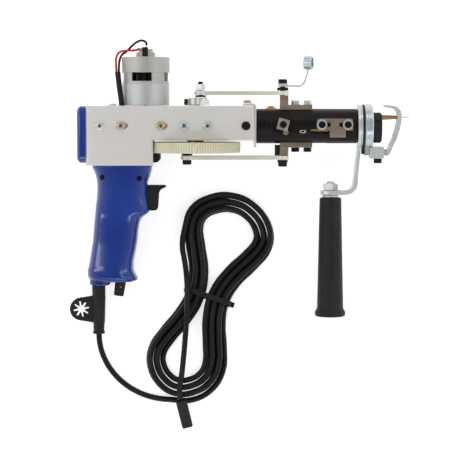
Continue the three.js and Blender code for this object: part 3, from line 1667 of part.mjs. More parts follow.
// The tool lies on its gear's rim, the grip's butt and the handle's end: find the tilt and the swing that
// bring all three to one level
function lowest(mesh, angle, pivotAngle = 0) {
  const position = mesh.geometry.attributes.position;
  const [c, s] = [Math.cos(angle + pivotAngle), Math.sin(angle + pivotAngle)];
  let low = Infinity;
  for (let i = 0; i < position.count; i++) {
    low = Math.min(low, position.getY(i) * s + position.getZ(i) * c);
  }
  return low;
}

function level(difference, from, to) {
  let [low, high] = [from, to];
  for (let i = 0; i < 40; i++) {
    const middle = (low + high) / 2;
    if (Math.sign(difference(middle)) === Math.sign(difference(low))) low = middle;
    else high = middle;
  }
  return (low + high) / 2;
}

function layDown() {
  const wheel = tool.getObjectByName("drive_gear");
  const butt = tool.getObjectByName("grip_left");
  const end = tool.getObjectByName("handle_grip");
  const tilt = level((angle) => lowest(wheel, angle) - lowest(butt, angle), 0, Math.PI / 6);
  const swing = level((turn) => lowest(wheel, tilt) - lowest(end, tilt, turn), -Math.PI / 12, Math.PI / 12);
  tool.rotation.x = tilt;
  swinging.rotation.x = swing;
  tool.updateMatrixWorld(true);
  const bench = new THREE.Box3().setFromObject(tool, true).min.z;
  tool.position.z = -bench;
  tool.updateMatrixWorld(true);
  return { tilt, swing };
}

// Cord
function hankBase(angle) {
  const v = -Math.cos(angle);
  const swell = 1 - (1 - v * v) ** hankShares.swellPower;
  const width = v > 0 ? hank.upperWidth : hank.lowerWidth;
  const x = Math.sin(angle) * (hank.waist + (width - hank.waist) * swell);
  return new THREE.Vector2(x, hank.half * v);
}

function hankPoint(turn) {
  const plain = 2 * Math.PI * turn;
  const angle = plain + hankShares.ease * Math.sin(2 * plain);
  const step = cord.diameter + cord.gap;
  const depth = turn < hank.loops ? turn : 2 * hank.loops - turn;
  const nudge = 1e-3;
  const point = hankBase(angle);
  const along = hankBase(angle + nudge).sub(hankBase(angle - nudge)).normalize();
  point.add(new THREE.Vector2(-along.y, along.x).multiplyScalar(depth * step));
  const climb = THREE.MathUtils.smoothstep(turn, hank.loops - hankShares.climb, hank.loops + hankShares.climb);
  const narrow = (1 - Math.min(1, (point.y / hank.half) ** 2)) ** hankShares.liftPower;
  const z = cord.diameter / 2 + climb * step + hank.lift * narrow;
  const lean = degrees(hank.lean);
  const [c, s] = [Math.cos(lean), Math.sin(lean)];
  return new THREE.Vector3(hank.x + point.x * c + point.y * s, hank.y - point.x * s + point.y * c, z);
}

function hankRoute() {
  const turns = 2 * hank.loops - hankShares.end;
  const steps = Math.round(turns * loopSteps);
  const route = [];
  for (let i = 0; i <= steps; i++) route.push(hankPoint((turns * i) / steps));
  return route;
}

// Least clear distance between stretches of the tube that are more than a few diameters apart along it
function leastGap(route) {
  const travelled = [0];
  for (let i = 1; i < route.length; i++) travelled.push(travelled[i - 1] + route[i].distanceTo(route[i - 1]));
  let least = Infinity;
  const [segment, place1] = [new THREE.Line3(), new THREE.Vector3()];
  for (let i = 0; i < route.length; i++) {
    for (let j = i + 1; j + 1 < route.length; j++) {
      if (travelled[j] - travelled[i] < 5 * cord.diameter) continue;
      segment.set(route[j], route[j + 1]).closestPointToPoint(route[i], true, place1);
      least = Math.min(least, place1.distanceTo(route[i]));
    }
  }
  return { gap: least - cord.diameter, length: travelled[travelled.length - 1] };
}

function tubeCurve(points) {
  return new THREE.CatmullRomCurve3(points, false, "centripetal");
}

function tailPoints(from, to) {
  const [alongX, alongY] = [to.x - from.x, to.y - from.y];
  return tailShares.map(([along, aside, up]) => {
    const x = from.x + along * alongX - aside * alongY;
    const y = from.y + along * alongY + aside * alongX;
    return new THREE.Vector3(x, y, up * cord.diameter);
  });
}

function plugFrame() {
  const lean = degrees(plug.lean);
  const tilt = degrees(plug.tilt);
  const way = new THREE.Vector3(
    Math.sin(lean) * Math.cos(tilt),
    -Math.cos(lean) * Math.cos(tilt),
    -Math.sin(tilt),
  );
  return { head: new THREE.Vector3(plug.x, plug.y, plug.z), way };
}

function makePlug() {
  const { head, way } = plugFrame();
  const bevel = plug.edge;
  const section = roundedRectangle(plug.width - 2 * bevel, plug.height - 2 * bevel, bevel);
  const block = extruded(section, plug.length - 2 * bevel, {
    bevelEnabled: true,
    bevelThickness: bevel,
    bevelSize: bevel,
    bevelSegments: 1,
    curveSegments: arcs.coarse,
  });
  block.translate(0, 0, bevel);
  const across = new THREE.Vector3(0, 0, 1).cross(way).normalize();
  const up = way.clone().cross(across);
  const frame = new THREE.Matrix4().makeBasis(across, up, way).setPosition(head);
  place("cord_plug", solid(block.applyMatrix4(frame)), finishes.blackPlastic, machine);
}

// Band round the strands where the hank is narrowest, with its small head at one side
function makeTie() {
  const step = cord.diameter + cord.gap;
  const radius = cord.diameter / 2 + tie.clear;
  const [left, right] = [
    -(hank.waist - tieShares.left * step) - radius,
    hank.waist - tieShares.right * step + radius,
  ];
  const low = cord.diameter / 2 + hank.lift - radius;
  const high = low + step + 2 * radius;
  const ringShape = roundedRectangle(right - left + 2 * tie.wall, high - low + 2 * tie.wall, cord.diameter / 2);
  const innerShape = roundedRectangle(right - left, high - low, cord.diameter / 2 - tie.wall);
  const outer = solid(extruded(ringShape, tie.width, { curveSegments: arcs.coarse }));
  const room = extruded(innerShape, tie.width + 2 * overrun, { curveSegments: arcs.coarse });
  const inner = solid(room.translate(0, 0, -overrun));
  const end = (right - left) / 2;
  const head = box(end, end + tie.head, -tie.head / 2, tie.head / 2, 0, tie.width);
  const band = cut(join(outer, head), inner);
  const middleX = (left + right) / 2;
  const lift = (low + high) / 2;
  const lean = degrees(hank.lean);
  const upright = geometryOf(band).translate(middleX, lift, -tie.width / 2).rotateX(Math.PI / 2);
  const seated = upright.rotateZ(-lean).translate(hank.x, hank.y, 0);
  place("cord_tie", seated, finishes.blackPlastic, machine);
}

function makeCord(guardEnd) {
  const exit = new THREE.Vector3(guardX(), guardEnd - fit, 0).applyMatrix4(tool.matrixWorld);
  const away = new THREE.Vector3(0, -1, 0).transformDirection(tool.matrixWorld);
  const loops = hankRoute();
  const { head, way } = plugFrame();
  const end = head.clone().addScaledVector(way, -fit);
  const lastRun = end.clone().addScaledVector(way, -cord.diameter);
  const joined = tubeCurve([loops.at(-2), loops.at(-1), ...tailPoints(loops.at(-1), head), lastRun, end]);
  const tail = joined.getSpacedPoints(tailSteps).slice(2);
  const whole = [...loops, ...tail.slice(0, -2), lastRun, end];
  const { gap, length } = leastGap(whole);
  place("cord_hank", solid(wound(whole, cord.diameter / 2, sides.wire)), finishes.blackCable, machine);
  makePlug();
  makeTie();
  const start = loops[0];
  const heading = loops[1].clone().sub(start).normalize();
  const meet = start.clone().addScaledVector(heading, -fit);
  const far = exit.distanceTo(meet);
  const guardHandle = exit.clone().addScaledVector(away, leadShares.guard * far);
  const loopHandle = meet.clone().addScaledVector(heading, -leadShares.loops * far);
  const curve = new THREE.CubicBezierCurve3(exit, guardHandle, loopHandle, meet);
  const leadLength = curve.getLength();
  const steps = Math.round(leadLength / (leadStepShare * cord.diameter));
  place("cord_lead", solid(swept(curve, cord.diameter, sides.tiny, steps)), finishes.blackCable, machine);
  console.log("hank " + length.toFixed(0) + " mm, least gap to itself " + gap.toFixed(2) + " mm");
  console.log("lead " + leadLength.toFixed(0) + " mm");
}

makeHousing();
makeRearCap();
makeGuard();
makeMotor();
makeLeads();
makeShaft();
makeCrank();
makeRods();
makeFrontPlate();
makeBarrel();
makeLockNut();
makeHeightPlate();
makeNeedleBar();
makeLooper();
makeBrackets();
makeFrontEnd();
makeHandle();
makeGrip();
makeTrigger();
makeSpeedControl();
const guardEnd = makeCordGuard();
const pose = layDown();
makeCord(guardEnd);
const poseText = [pose.tilt, pose.swing].map((angle) => THREE.MathUtils.radToDeg(angle).toFixed(2));
console.log("tilt and swing in degrees: " + poseText.join(", "));

machine.updateMatrixWorld(true);
const bounds = new THREE.Box3().setFromObject(tool, true);
const middle = bounds.getCenter(new THREE.Vector3());
machine.position.set(-middle.x, -middle.y, -bounds.min.z);

export default machine;
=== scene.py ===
"""Dresses the handheld tufting machine: its finishes, its small fittings, and the studio round it.

Lengths are in millimetres in the machine's own axes, with X along the barrel to the needle, Y up the motor
and Z across. One matrix lays them down on the bench, as the solids are laid.
"""

import math

import bmesh
import bpy
from bmesh.types import BMEdge, BMFace, BMVert
from mathutils import Matrix, Vector
from mathutils.geometry import interpolate_bezier


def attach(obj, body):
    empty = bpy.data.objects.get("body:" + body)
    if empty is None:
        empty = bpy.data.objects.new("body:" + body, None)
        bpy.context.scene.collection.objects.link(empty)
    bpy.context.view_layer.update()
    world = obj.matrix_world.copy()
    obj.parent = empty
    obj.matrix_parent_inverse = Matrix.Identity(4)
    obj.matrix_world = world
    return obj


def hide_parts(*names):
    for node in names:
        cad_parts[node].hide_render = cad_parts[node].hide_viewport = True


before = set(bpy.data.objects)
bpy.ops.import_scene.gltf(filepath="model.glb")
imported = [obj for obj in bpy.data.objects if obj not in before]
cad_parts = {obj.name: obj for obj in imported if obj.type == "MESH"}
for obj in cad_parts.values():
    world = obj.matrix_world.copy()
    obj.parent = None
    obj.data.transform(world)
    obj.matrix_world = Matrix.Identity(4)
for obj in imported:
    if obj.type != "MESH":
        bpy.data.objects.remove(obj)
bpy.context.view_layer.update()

# The bench, the machine as it lies on it, and the front handle, turned a little about the barrel
MM = Matrix.Scale(0.001, 4)
BENCH = MM @ Matrix.Translation((-41.85, 59.588, 0))
LAID = BENCH @ Matrix.Translation((0, 0, 47.084)) @ Matrix.Rotation(math.radians(10.9918), 4, "X")
SWUNG = LAID @ Matrix.Rotation(math.radians(-0.5959), 4, "X")

# Where the axes of the main pieces stand along the barrel, as in the solids, and the M5 screws' radii
MOTOR, WRIST, CRANK_UP, CRANK_DOWN, HANDLE, CLAMP, GUARD = -47.2, 83.4, 5, -8, 129.3, 174.4, -93
M5, M5_HEAD = 2.5, 4.3


# Camera: a long lens almost straight above, over the middle of the picture
def look_down():
    aim = Vector((-0.0135, -0.0334, 0.029))
    lean, distance = math.radians(7), 1.7
    lens = bpy.data.cameras.new("camera")
    lens.lens = 141.8
    lens.clip_end = 20
    camera = bpy.data.objects.new("camera", lens)
    bpy.context.scene.collection.objects.link(camera)
    camera.location = aim + distance * Vector((0, -math.sin(lean), math.cos(lean)))
    camera.rotation_euler = (lean, 0, 0)
    bpy.context.scene.camera = camera


look_down()


# Cord: its route as the solids have it, from the guard through the hank to the plug
CORD = 5.5
STEP = CORD + 1.23
HANK = {"x": 10, "y": -159.5, "lean": 19, "half": 105.1, "upper": 68.6, "lower": 59.5, "waist": 22.3}
LOOPS, POINTS_A_TURN = 3, 24
# How far the points draw in towards the hank's waist, the turns that its climb takes, its rise at the waist,
# and the part of the last turn that is left out
CROWDING, CLIMB, HUMP, LEFT_OUT = 0.144, 0.5, 2.5, 0.36
# The last strand on its way to the plug: shares along and beside that way, and its level in cord diameters
TAIL = [
    (0.104, -0.012, 2.182),
    (0.201, 0.005, 3.018),
    (0.309, 0.02, 3.709),
    (0.443, 0.025, 3.709),
    (0.577, 0.021, 3.273),
    (0.717, 0.013, 2.982),
    (0.844, 0.003, 2.945),
]
PLUG_HEAD = Vector((-13.8, -259.6, 15.6))
PLUG_LEAN, PLUG_TILT = math.radians(14), math.radians(22)
PLUG_WAY = Matrix.Rotation(PLUG_LEAN, 3, "Z") @ Vector((0, -math.cos(PLUG_TILT), -math.sin(PLUG_TILT)))


def hank_base(angle):
    """A point of the outermost loop, which is narrow at its waist and wide near its ends."""
    v = -math.cos(angle)
    swell = 1 - (1 - v * v) ** 3
    width = HANK["upper"] if v > 0 else HANK["lower"]
    return Vector((math.sin(angle) * (HANK["waist"] + (width - HANK["waist"]) * swell), HANK["half"] * v))


def hank_point(turn):
    """A point of the hank after some turns: inwards on the bench, then outwards again on top of them."""
    plain = math.tau * turn
    angle = plain + CROWDING * math.sin(2 * plain)
    along = (hank_base(angle + 1e-3) - hank_base(angle - 1e-3)).normalized()
    depth = turn if turn < LOOPS else 2 * LOOPS - turn
    point = hank_base(angle) + Vector((-along.y, along.x)) * depth * STEP
    share = min(max((turn - LOOPS) / CLIMB + 0.5, 0), 1)
    climb = share * share * (3 - 2 * share)
    narrow = (1 - min(1, (point.y / HANK["half"]) ** 2)) ** 6
    height = CORD / 2 + climb * STEP + HUMP * narrow
    lean = math.radians(HANK["lean"])
    c, s = math.cos(lean), math.sin(lean)
    return Vector((HANK["x"] + point.x * c + point.y * s, HANK["y"] - point.x * s + point.y * c, height))


def cord_route():
    """The cord's way on the bench: its lead in one easy curve, the hank, and the strand to the plug."""
    out = BENCH.inverted() @ LAID
    leaving = out @ Vector((GUARD, -199.8, 0))
    away = (out.to_3x3() @ Vector((0, -1, 0))).normalized()
    turns = 2 * LOOPS - LEFT_OUT
    steps = round(turns * POINTS_A_TURN)
    loops = [hank_point(turns * i / steps) for i in range(steps + 1)]
    heading = (loops[1] - loops[0]).normalized()
    meet = loops[0] - 0.3 * heading
    far = (meet - leaving).length
    handles = leaving, leaving + 0.33 * far * away, meet - 0.45 * far * heading, meet
    lead = interpolate_bezier(*handles, 11)[:-1]
    along = PLUG_HEAD - loops[-1]
    tail = []
    for forward, aside, level in TAIL:
        x = loops[-1].x + forward * along.x - aside * along.y
        y = loops[-1].y + forward * along.y + aside * along.x
        tail.append(Vector((x, y, level * CORD)))
    end = PLUG_HEAD - 0.3 * PLUG_WAY
    return lead + loops + tail + [end - CORD * PLUG_WAY, end]


def smooth_curve(name, points, thickness, fineness):
    """A round cord, wire or lead along a smooth route, closed at both ends."""
    curve = bpy.data.curves.new(name, "CURVE")
    curve.dimensions = "3D"
    curve.bevel_depth = thickness
    curve.bevel_resolution = 4
    curve.resolution_u = fineness
    curve.use_fill_caps = True
    spline = curve.splines.new("BEZIER")
    spline.bezier_points.add(len(points) - 1)
    for knot, point in zip(spline.bezier_points, points):
        knot.co = point
        knot.handle_left_type = knot.handle_right_type = "AUTO"
    piece = bpy.data.objects.new(name, curve)
    bpy.context.scene.collection.objects.link(piece)
    return piece


def lay_cord():
    route = [BENCH @ point for point in cord_route()]
    piece = smooth_curve("mains_cord", route, 1, 4)
    # The thickness is in the knots' radius, because a curve's box is measured with it
    for knot in piece.data.splines[0].bezier_points:
        knot.radius = CORD / 2000
    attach(piece, "machine")
    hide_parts("cord_lead", "cord_hank")
    return piece, route


cord, route = lay_cord()


# Finishes
def linear(code):
    """Turns an sRGB hex colour into what a colour socket takes."""
    channels = [int(code[i : i + 2], 16) / 255 for i in (1, 3, 5)]
    return [c / 12.92 if c <= 0.04045 else ((c + 0.055) / 1.055) ** 2.4 for c in channels] + [1]


def add(material, kind, sockets=None, **settings):
    """Adds a node, sets its fields, and fills its sockets with values or with what other nodes give."""
    made = material.node_tree.nodes.new(kind)
    for name, value in settings.items():
        setattr(made, name, value)
    for socket, value in (sockets or {}).items():
        if isinstance(value, bpy.types.NodeSocket):
            material.node_tree.links.new(value, made.inputs[socket])
        else:
            made.inputs[socket].default_value = value
    return made


def grain(material, size, stretch=(1, 1, 1)):
    """A fine unevenness whose features are about `size` millimetres, drawn out along the axes."""
    place = add(material, "ShaderNodeTexCoord")
    scale = [1000 / (size * s) for s in stretch]
    drawn = add(material, "ShaderNodeMapping", {"Vector": place.outputs["Object"], "Scale": scale})
    noise = {"Vector": drawn.outputs[0], "Scale": 1, "Detail": 3, "Roughness": 0.6}
    return add(material, "ShaderNodeTexNoise", noise).outputs["Fac"]


def wear_and_highlight_rims(material, width):
    """1 on outside edges, where wear and a painted highlight make them brighter, 0 on the flats."""
    rounded = add(material, "ShaderNodeBevel", {"Radius": width / 1000}, samples=4)
    flat = add(material, "ShaderNodeNewGeometry")
    sides = {0: rounded.outputs[0], 1: flat.outputs["Normal"]}
    facing = add(material, "ShaderNodeVectorMath", sides, operation="DOT_PRODUCT").outputs["Value"]
    limits = {"Value": facing, "From Min": 0.86, "From Max": 0.985, "To Min": 1, "To Max": 0}
    return add(material, "ShaderNodeMapRange", limits).outputs[0]


def finish(name, colours, gloss, metallic, patch, fine, bump, stretch=(1, 1, 1), **shader):
    """A finish whose colour drifts in patches from dark to light and whose gloss and surface vary finely.

    A third colour is that of worn edges, and of the painted highlights on them. Patches, fine grain and bump
    are in millimetres.
    Brushing and moulded grain are really finer than 0.1 mm, and are drawn at 0.3 mm or more to show.
    """
    material = bpy.data.materials.new(name)
    material.use_nodes = True
    surface = material.node_tree.nodes["Principled BSDF"]
    dark, light, *edge = [linear(code) for code in colours.split()]
    middle = {"From Min": 0.3, "From Max": 0.7}
    drift = {"Value": grain(material, patch, stretch), **middle, "To Min": 0, "To Max": 1}
    tone = {"Factor": add(material, "ShaderNodeMapRange", drift).outputs[0], 6: dark, 7: light}
    colour = add(material, "ShaderNodeMix", tone, data_type="RGBA").outputs[2]
    # Outside edges drift to the third colour: partly wear, partly a painted highlight
    if edge:
        wear_and_highlight = {"Factor": wear_and_highlight_rims(material, 0.5), 6: colour, 7: edge[0]}
        colour = add(material, "ShaderNodeMix", wear_and_highlight, data_type="RGBA").outputs[2]
    fineness = grain(material, fine, stretch)
    shine = {"Value": fineness, **middle, "To Min": gloss[0], "To Max": gloss[1]}
    relief = {"Height": fineness, "Strength": 0.6, "Distance": bump / 1000}
    link = material.node_tree.links.new
    link(colour, surface.inputs["Base Color"])
    link(add(material, "ShaderNodeMapRange", shine).outputs[0], surface.inputs["Roughness"])
    link(add(material, "ShaderNodeBump", relief).outputs[0], surface.inputs["Normal"])
    surface.inputs["Metallic"].default_value = metallic
    for socket, value in shader.items():
        surface.inputs[socket.replace("_", " ")].default_value = value
    return material


# How far the grain is drawn out along the machine's axes, and the weak shine of plain plastic and rubber
BRUSHED, LENGTHWAYS, MILLED, UPRIGHT = (30, 1, 1), (12, 1, 1), (8, 1, 1), (1, 12, 1)
FAINT = {"Specular_IOR_Level": 0.28}
# Folded sheet steel, nickel plated and brushed along its length: a pale satin grey, with painted highlights
# on its folds
SHEET = finish("brushed_nickel_sheet", "#DAD7D3 #E3E0DC #F4F3F0", (0.42, 0.52), 0.35, 40, 0.4, 0.006, BRUSHED)
# Zinc plated steel with its blue-white passivation: bright, a little cloudy
ZINC = finish("blue_white_zinc_plate", "#CBCECF #DFE2E2 #F0F2F2", (0.3, 0.44), 0.55, 5, 0.6, 0.008)
# The same plate where its passivation shows blue
BLUE_ZINC = finish("clear_blue_zinc_plate", "#AEBEC6 #D0DADE #EEF3F5", (0.26, 0.4), 0.65, 4, 0.6, 0.008)
# Yellow passivated zinc plate, worn thin: tan with straw edges
TAN_ZINC = finish("tan_zinc_plate", "#A98F72 #D8C5AC #DDD0BC", (0.28, 0.42), 0.7, 2.5, 0.5, 0.008)
# Rolled can of an electric motor, zinc plated: satin and warm, with fine lines along it
CAN = finish("plated_motor_can", "#ADABA5 #BBB9B3 #D5D5D2", (0.4, 0.5), 0.45, 14, 0.3, 0.005, UPRIGHT)
# The can's thick lower ring, plated with it: the same, but cooler and brighter
RING = finish("plated_flux_ring", "#B6BAB9 #C5C8C7 #DCDEDD", (0.38, 0.48), 0.45, 18, 0.3, 0.004, UPRIGHT)
# Black oxide on machined steel: near black, warm, rubbed grey at its edges
BLACK_OXIDE = finish(
    "black_oxide_steel", "#120F0E #1E1A18 #4C4541", (0.38, 0.52), 0.5, 7, 0.5, 0.01, Specular_IOR_Level=0.3
)
# Browned mild steel bar: warm grey with milling lines
BROWNED = finish("browned_mild_steel", "#75675A #9C8C7C #C4B9AA", (0.36, 0.5), 0.55, 6, 0.35, 0.012, MILLED)
# Plain steel nut, handled: the plating gone to a dull tan, bright at the corners
NUT_STEEL = finish("worn_nut_steel", "#8F8475 #B3A899 #DDD6CA", (0.34, 0.5), 0.5, 4, 0.4, 0.01)
# Bare steel rod, dull nickel: a warm beige grey
ROD = finish("dull_nickel_rod", "#DDDAD0 #E8E6DE #D8D6CE", (0.38, 0.5), 0.3, 18, 0.4, 0.006, (10, 1, 1))
# Ground and polished spring steel: bright, with sharp long reflections
POLISHED = finish("polished_spring_steel", "#C3C3C1 #DADAD8", (0.18, 0.28), 0.95, 8, 0.4, 0.004, LENGTHWAYS)
# Drawn spring wire: dark grey where it is out of the plating
WIRE = finish("drawn_spring_wire", "#4A4845 #5F5C58", (0.3, 0.42), 0.6, 6, 0.4, 0.004, LENGTHWAYS)
# Turned brass, a little tarnished: deep yellow with bright edges
BRASS = finish("turned_brass", "#A87D1E #CDA23A #E5C875", (0.24, 0.36), 0.9, 4, 0.4, 0.006)
# Sintered bronze full of oil: brown gold, dull and slightly streaked
BRONZE = finish("oiled_bronze", "#8A6D42 #AF915F #CDB182", (0.3, 0.44), 0.7, 5, 0.4, 0.008, (6, 1, 1))
# Enamelled copper wire, wound: dark red brown with a soft shine
COPPER = finish("enamelled_copper_winding", "#5A2A16 #8E4A28", (0.3, 0.42), 0.6, 3, 0.5, 0.02)
# Glass-filled ABS moulded in blue and polished tool steel: glossy, with a faint flow of colour
BLUE = finish(
    "blue_abs_moulding", "#0C2B7C #143B97 #2C57B4", (0.16, 0.24), 0, 60, 1.6, 0.012, Coat_Weight=0.3
)
# Cast nylon: cream, waxy, slightly see-through at its teeth
NYLON = finish(
    "cast_nylon", "#DEDABC #E9E6CF", (0.42, 0.55), 0, 22, 0.8, 0.01, IOR=1.53, Subsurface_Weight=0.08
)
# Hard black moulded plastic with a fine spark-eroded grain
BLACK_PLASTIC = finish("black_grained_plastic", "#161313 #1F1B1B", (0.42, 0.54), 0, 12, 0.35, 0.02, **FAINT)
# Black rubber sleeve: dull and even
RUBBER = finish("black_rubber", "#191616 #231F1E", (0.5, 0.62), 0, 14, 0.5, 0.02, **FAINT)
# Soft PVC sheath of the cord: near black with a broad soft shine
PVC = finish("black_pvc_sheath", "#100D0E #181415", (0.34, 0.44), 0, 10, 0.8, 0.015, Specular_IOR_Level=0.25)
# The same sheath in red: clean and bright
RED_PVC = finish("red_pvc_sheath", "#C8141B #DE2026", (0.32, 0.42), 0, 6, 0.8, 0.01)
# Heat-shrunk sleeve: black, dull and lumpy over what it holds
SHRINK = finish("black_heat_shrink", "#161314 #201C1C", (0.48, 0.6), 0, 5, 1.2, 0.04, Specular_IOR_Level=0.25)
# Glass fibre circuit board under green lacquer: deep green, slightly woven
BOARD = finish("green_circuit_board", "#1C4A2C #2A633D", (0.4, 0.5), 0, 5, 0.6, 0.02)
# Painted shade in the drivers' recesses and small holes: nearly black and matt
RECESS_SHADE = finish("painted_shade_in_recess", "#141210 #221E1A", (0.6, 0.75), 0, 2, 0.4, 0.02)

# The solids that show as they are, by their finish
for material, nodes in (
    (ZINC, ["motor_pinion"]),
    (POLISHED, ["main_shaft", "looper_bar", "trigger_spring"]),
    (BRONZE, ["upper_bush", "lower_bush", "needle_bar", "needle"]),
    (WIRE, ["looper_wire"]),
    (BLACK_PLASTIC, ["switch_body"]),
    (BOARD, ["speed_control"]),
):
    for node in nodes:
        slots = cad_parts[node].data.materials
        slots.clear()
        slots.append(material)
cord.data.materials.append(PVC)


# Pieces
CLOSE = 1e-4  # corners nearer to each other than this are one
RECESS = 7  # the face number of a driver's recess, past those of a piece's own finishes


def keep(name, form, *materials, body="machine", place=LAID, covers=None, smooth=30):
    """Turns a form in the machine's axes into a finished piece, with painted shade in its drivers' recesses.
    """
    bmesh.ops.transform(form, matrix=place, verts=form.verts)
    for face in form.faces:
        face.material_index = min(face.material_index, len(materials))
    mesh = bpy.data.meshes.new(name)
    form.to_mesh(mesh)
    form.free()
    # The last slot is painted shade, for drivers' recesses and any face numbered past the piece's own
    # finishes
    for material in (*materials, RECESS_SHADE):
        mesh.materials.append(material)
    mesh.shade_smooth()
    mesh.set_sharp_from_angle(angle=math.radians(smooth))
    piece = bpy.data.objects.new(name, mesh)
    bpy.context.scene.collection.objects.link(piece)
    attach(piece, body)
    if covers:
        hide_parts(covers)
    return piece


def taken(node):
    """A copy of a solid with its triangles joined into whole faces, in the machine's axes."""
    form = bmesh.new()
    form.from_mesh(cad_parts[node].data)
    bmesh.ops.transform(form, matrix=LAID.inverted(), verts=form.verts)
    bmesh.ops.remove_doubles(form, verts=form.verts, dist=0.002)
    bmesh.ops.dissolve_limit(form, angle_limit=math.radians(0.6), verts=form.verts, edges=form.edges)
    return form


def rounded(piece, width, angle=32, segments=2):
    """Breaks the edges that turn by more than some degrees."""
    edge = piece.modifiers.new("rounded_edges", "BEVEL")
    edge.width = width / 1000
    edge.segments = segments
    edge.limit_method = "ANGLE"
    edge.angle_limit = math.radians(angle)
    edge.harden_normals = True
    edge.use_clamp_overlap = False


def walled(piece, thickness):
    """Gives a skin its wall on the inner side."""
    wall = piece.modifiers.new("wall", "SOLIDIFY")
    wall.thickness = thickness / 1000
    wall.offset = -1
    return piece


def pointing(place, way, turn=0):
    """A matrix that sets local Z along a direction at a place, turned about it by some degrees."""
    turned = Vector(way).to_track_quat("Z", "Y").to_matrix().to_4x4()
    return Matrix.Translation(place) @ turned @ Matrix.Rotation(math.radians(turn), 4, "Z")


def upright(x, way=1):
    """The same for a direction up or down the machine's Y, at a place along the barrel."""
    return pointing((x, 0, 0), (0, way, 0))


def only(kind, items):
    return [item for item in items if isinstance(item, kind)]


def same(value, level):
    return abs(value - level) < 1e-3


def open_edges(form, test):
    """The edges at an opening whose two ends both pass a test."""
    return [edge for edge in form.edges if edge.is_boundary and all(test(v.co) for v in edge.verts)]


def ring_of(form, points):
    """A closed ring of edges through points."""
    row = [form.verts.new(point) for point in points]
    return [form.edges.new(pair) for pair in zip(row, row[1:] + row[:1])]


def sliced(form, place, normal, **settings):
    """Cuts every face that a plane crosses."""
    every = form.verts[:] + form.edges[:] + form.faces[:]
    bmesh.ops.bisect_plane(form, geom=every, plane_co=place, plane_no=normal, **settings)


def placed(form, place):
    """Turns a form's faces outwards and moves it to its place."""
    bmesh.ops.recalc_face_normals(form, faces=form.faces)
    bmesh.ops.transform(form, matrix=place, verts=form.verts)
    return form


def spun(profile, place, steps=64, ripple=None):
    """Spins rows of (radius, height) round local Z.

    A ripple (lowest, highest, depth) knurls the widest rows between two heights.
    """
    form = bmesh.new()
    points = [form.verts.new((radius, 0, height)) for radius, height in profile]
    geometry = points + [form.edges.new(pair) for pair in zip(points, points[1:])]
    turn = {"cent": (0, 0, 0), "axis": (0, 0, 1), "angle": math.tau, "steps": steps, "use_merge": True}
    bmesh.ops.spin(form, geom=geometry, **turn)
    bmesh.ops.remove_doubles(form, verts=form.verts, dist=CLOSE)
    if ripple:
        low, high, depth = ripple
        widest = max(radius for radius, _ in profile)
        for vert in form.verts:
            step = round(math.atan2(vert.co.y, vert.co.x) / math.tau * steps)
            if step % 2 and low < vert.co.z < high and vert.co.xy.length > 0.9 * widest:
                vert.co.xy *= 1 - depth / widest
    return placed(form, place)


def pin(radius, low, high, place, steps=24):
    return spun([(0, low), (radius, low), (radius, high), (0, high)], place, steps)


def cast(points, depth, place=Matrix(), holes=()):
    """Extrudes a closed outline of (x, y) points along local Z, with the holes left open."""
    form = bmesh.new()
    edges = []
    for loop in (points, *holes):
        edges += ring_of(form, [(x, y, 0) for x, y in loop])
    if holes:
        bmesh.ops.triangle_fill(form, edges=edges, use_beauty=True)
    else:
        bmesh.ops.edgeloop_fill(form, edges=edges)
    made = bmesh.ops.extrude_face_region(form, geom=form.faces[:], use_keep_orig=True)["geom"]
    bmesh.ops.translate(form, vec=(0, 0, depth), verts=only(BMVert, made))
    return placed(form, place)


def block(low, high):
    form = bmesh.new()
    bmesh.ops.create_cube(form, size=1)
    bmesh.ops.scale(form, vec=Vector(high) - Vector(low), verts=form.verts)
    bmesh.ops.translate(form, vec=(Vector(low) + Vector(high)) / 2, verts=form.verts)
    return form


def joined(*forms):
    """One form of several (form, number of its finish) pairs; a driver's recess keeps its own number."""
    whole = bmesh.new()
    for form, number in forms:
        for face in form.faces:
            face.material_index = max(face.material_index, number)
        mesh = bpy.data.meshes.new("part")
        form.to_mesh(mesh)
        form.free()
        whole.from_mesh(mesh)
        bpy.data.meshes.remove(mesh)
    return whole


def window(form, low, high, within=None):
    """Cuts an opening with straight sides through a skin, between two corners."""
    for axis in range(3):
        for bound in (low[axis], high[axis]):
            if bound is None:
                continue
            faces = [face for face in form.faces if within is None or within(face.calc_center_median())]
            near = {item for face in faces for item in (*face.verts, *face.edges, face)}
            across = Matrix.Identity(3)[axis]
            bmesh.ops.bisect_plane(
                form, geom=list(near), dist=CLOSE, plane_co=bound * across, plane_no=across
            )
    gone = []
    for face in form.faces:
        middle = face.calc_center_median()
        inside = all((a is None or m > a) and (b is None or m < b) for m, a, b in zip(middle, low, high))
        if inside and (within is None or within(middle)):
            gone.append(face)
    bmesh.ops.delete(form, geom=gone, context="FACES")


def driven(profile, mouth, depth, place, steps=48, ripple=None, floor=0.85):
    """A spun head whose top narrows from its last row to a driver's recess with the outline `mouth`."""
    form = spun(profile, Matrix(), steps, ripple)
    top = profile[-1][1]
    rim = open_edges(form, lambda corner: same(corner.z, top))
    edges = ring_of(form, [(x, y, top) for x, y in mouth])
    bmesh.ops.bridge_loops(form, edges=rim + edges)
    made = bmesh.ops.extrude_edge_only(form, edges=edges)["geom"]
    bottom = only(BMVert, made)
    bmesh.ops.translate(form, vec=(0, 0, -depth), verts=bottom)
    middle = sum((v.co for v in bottom), Vector()) / len(bottom)
    bmesh.ops.scale(form, vec=(floor, floor, 1), space=Matrix.Translation(-middle), verts=bottom)
    made += bmesh.ops.edgeloop_fill(form, edges=only(BMEdge, made))["faces"]
    for face in only(BMFace, made):
        face.material_index = RECESS
    return placed(form, place)


def cross(reach, width):
    """Outline of a cross recess."""
    arm = [(width, -width), (reach, -width), (reach, width), (width, width)]
    points = []
    for quarter in range(4):
        turn = Matrix.Rotation(math.radians(90 * quarter), 2)
        points += [tuple(turn @ Vector(point)) for point in arm[1:]]
    return points


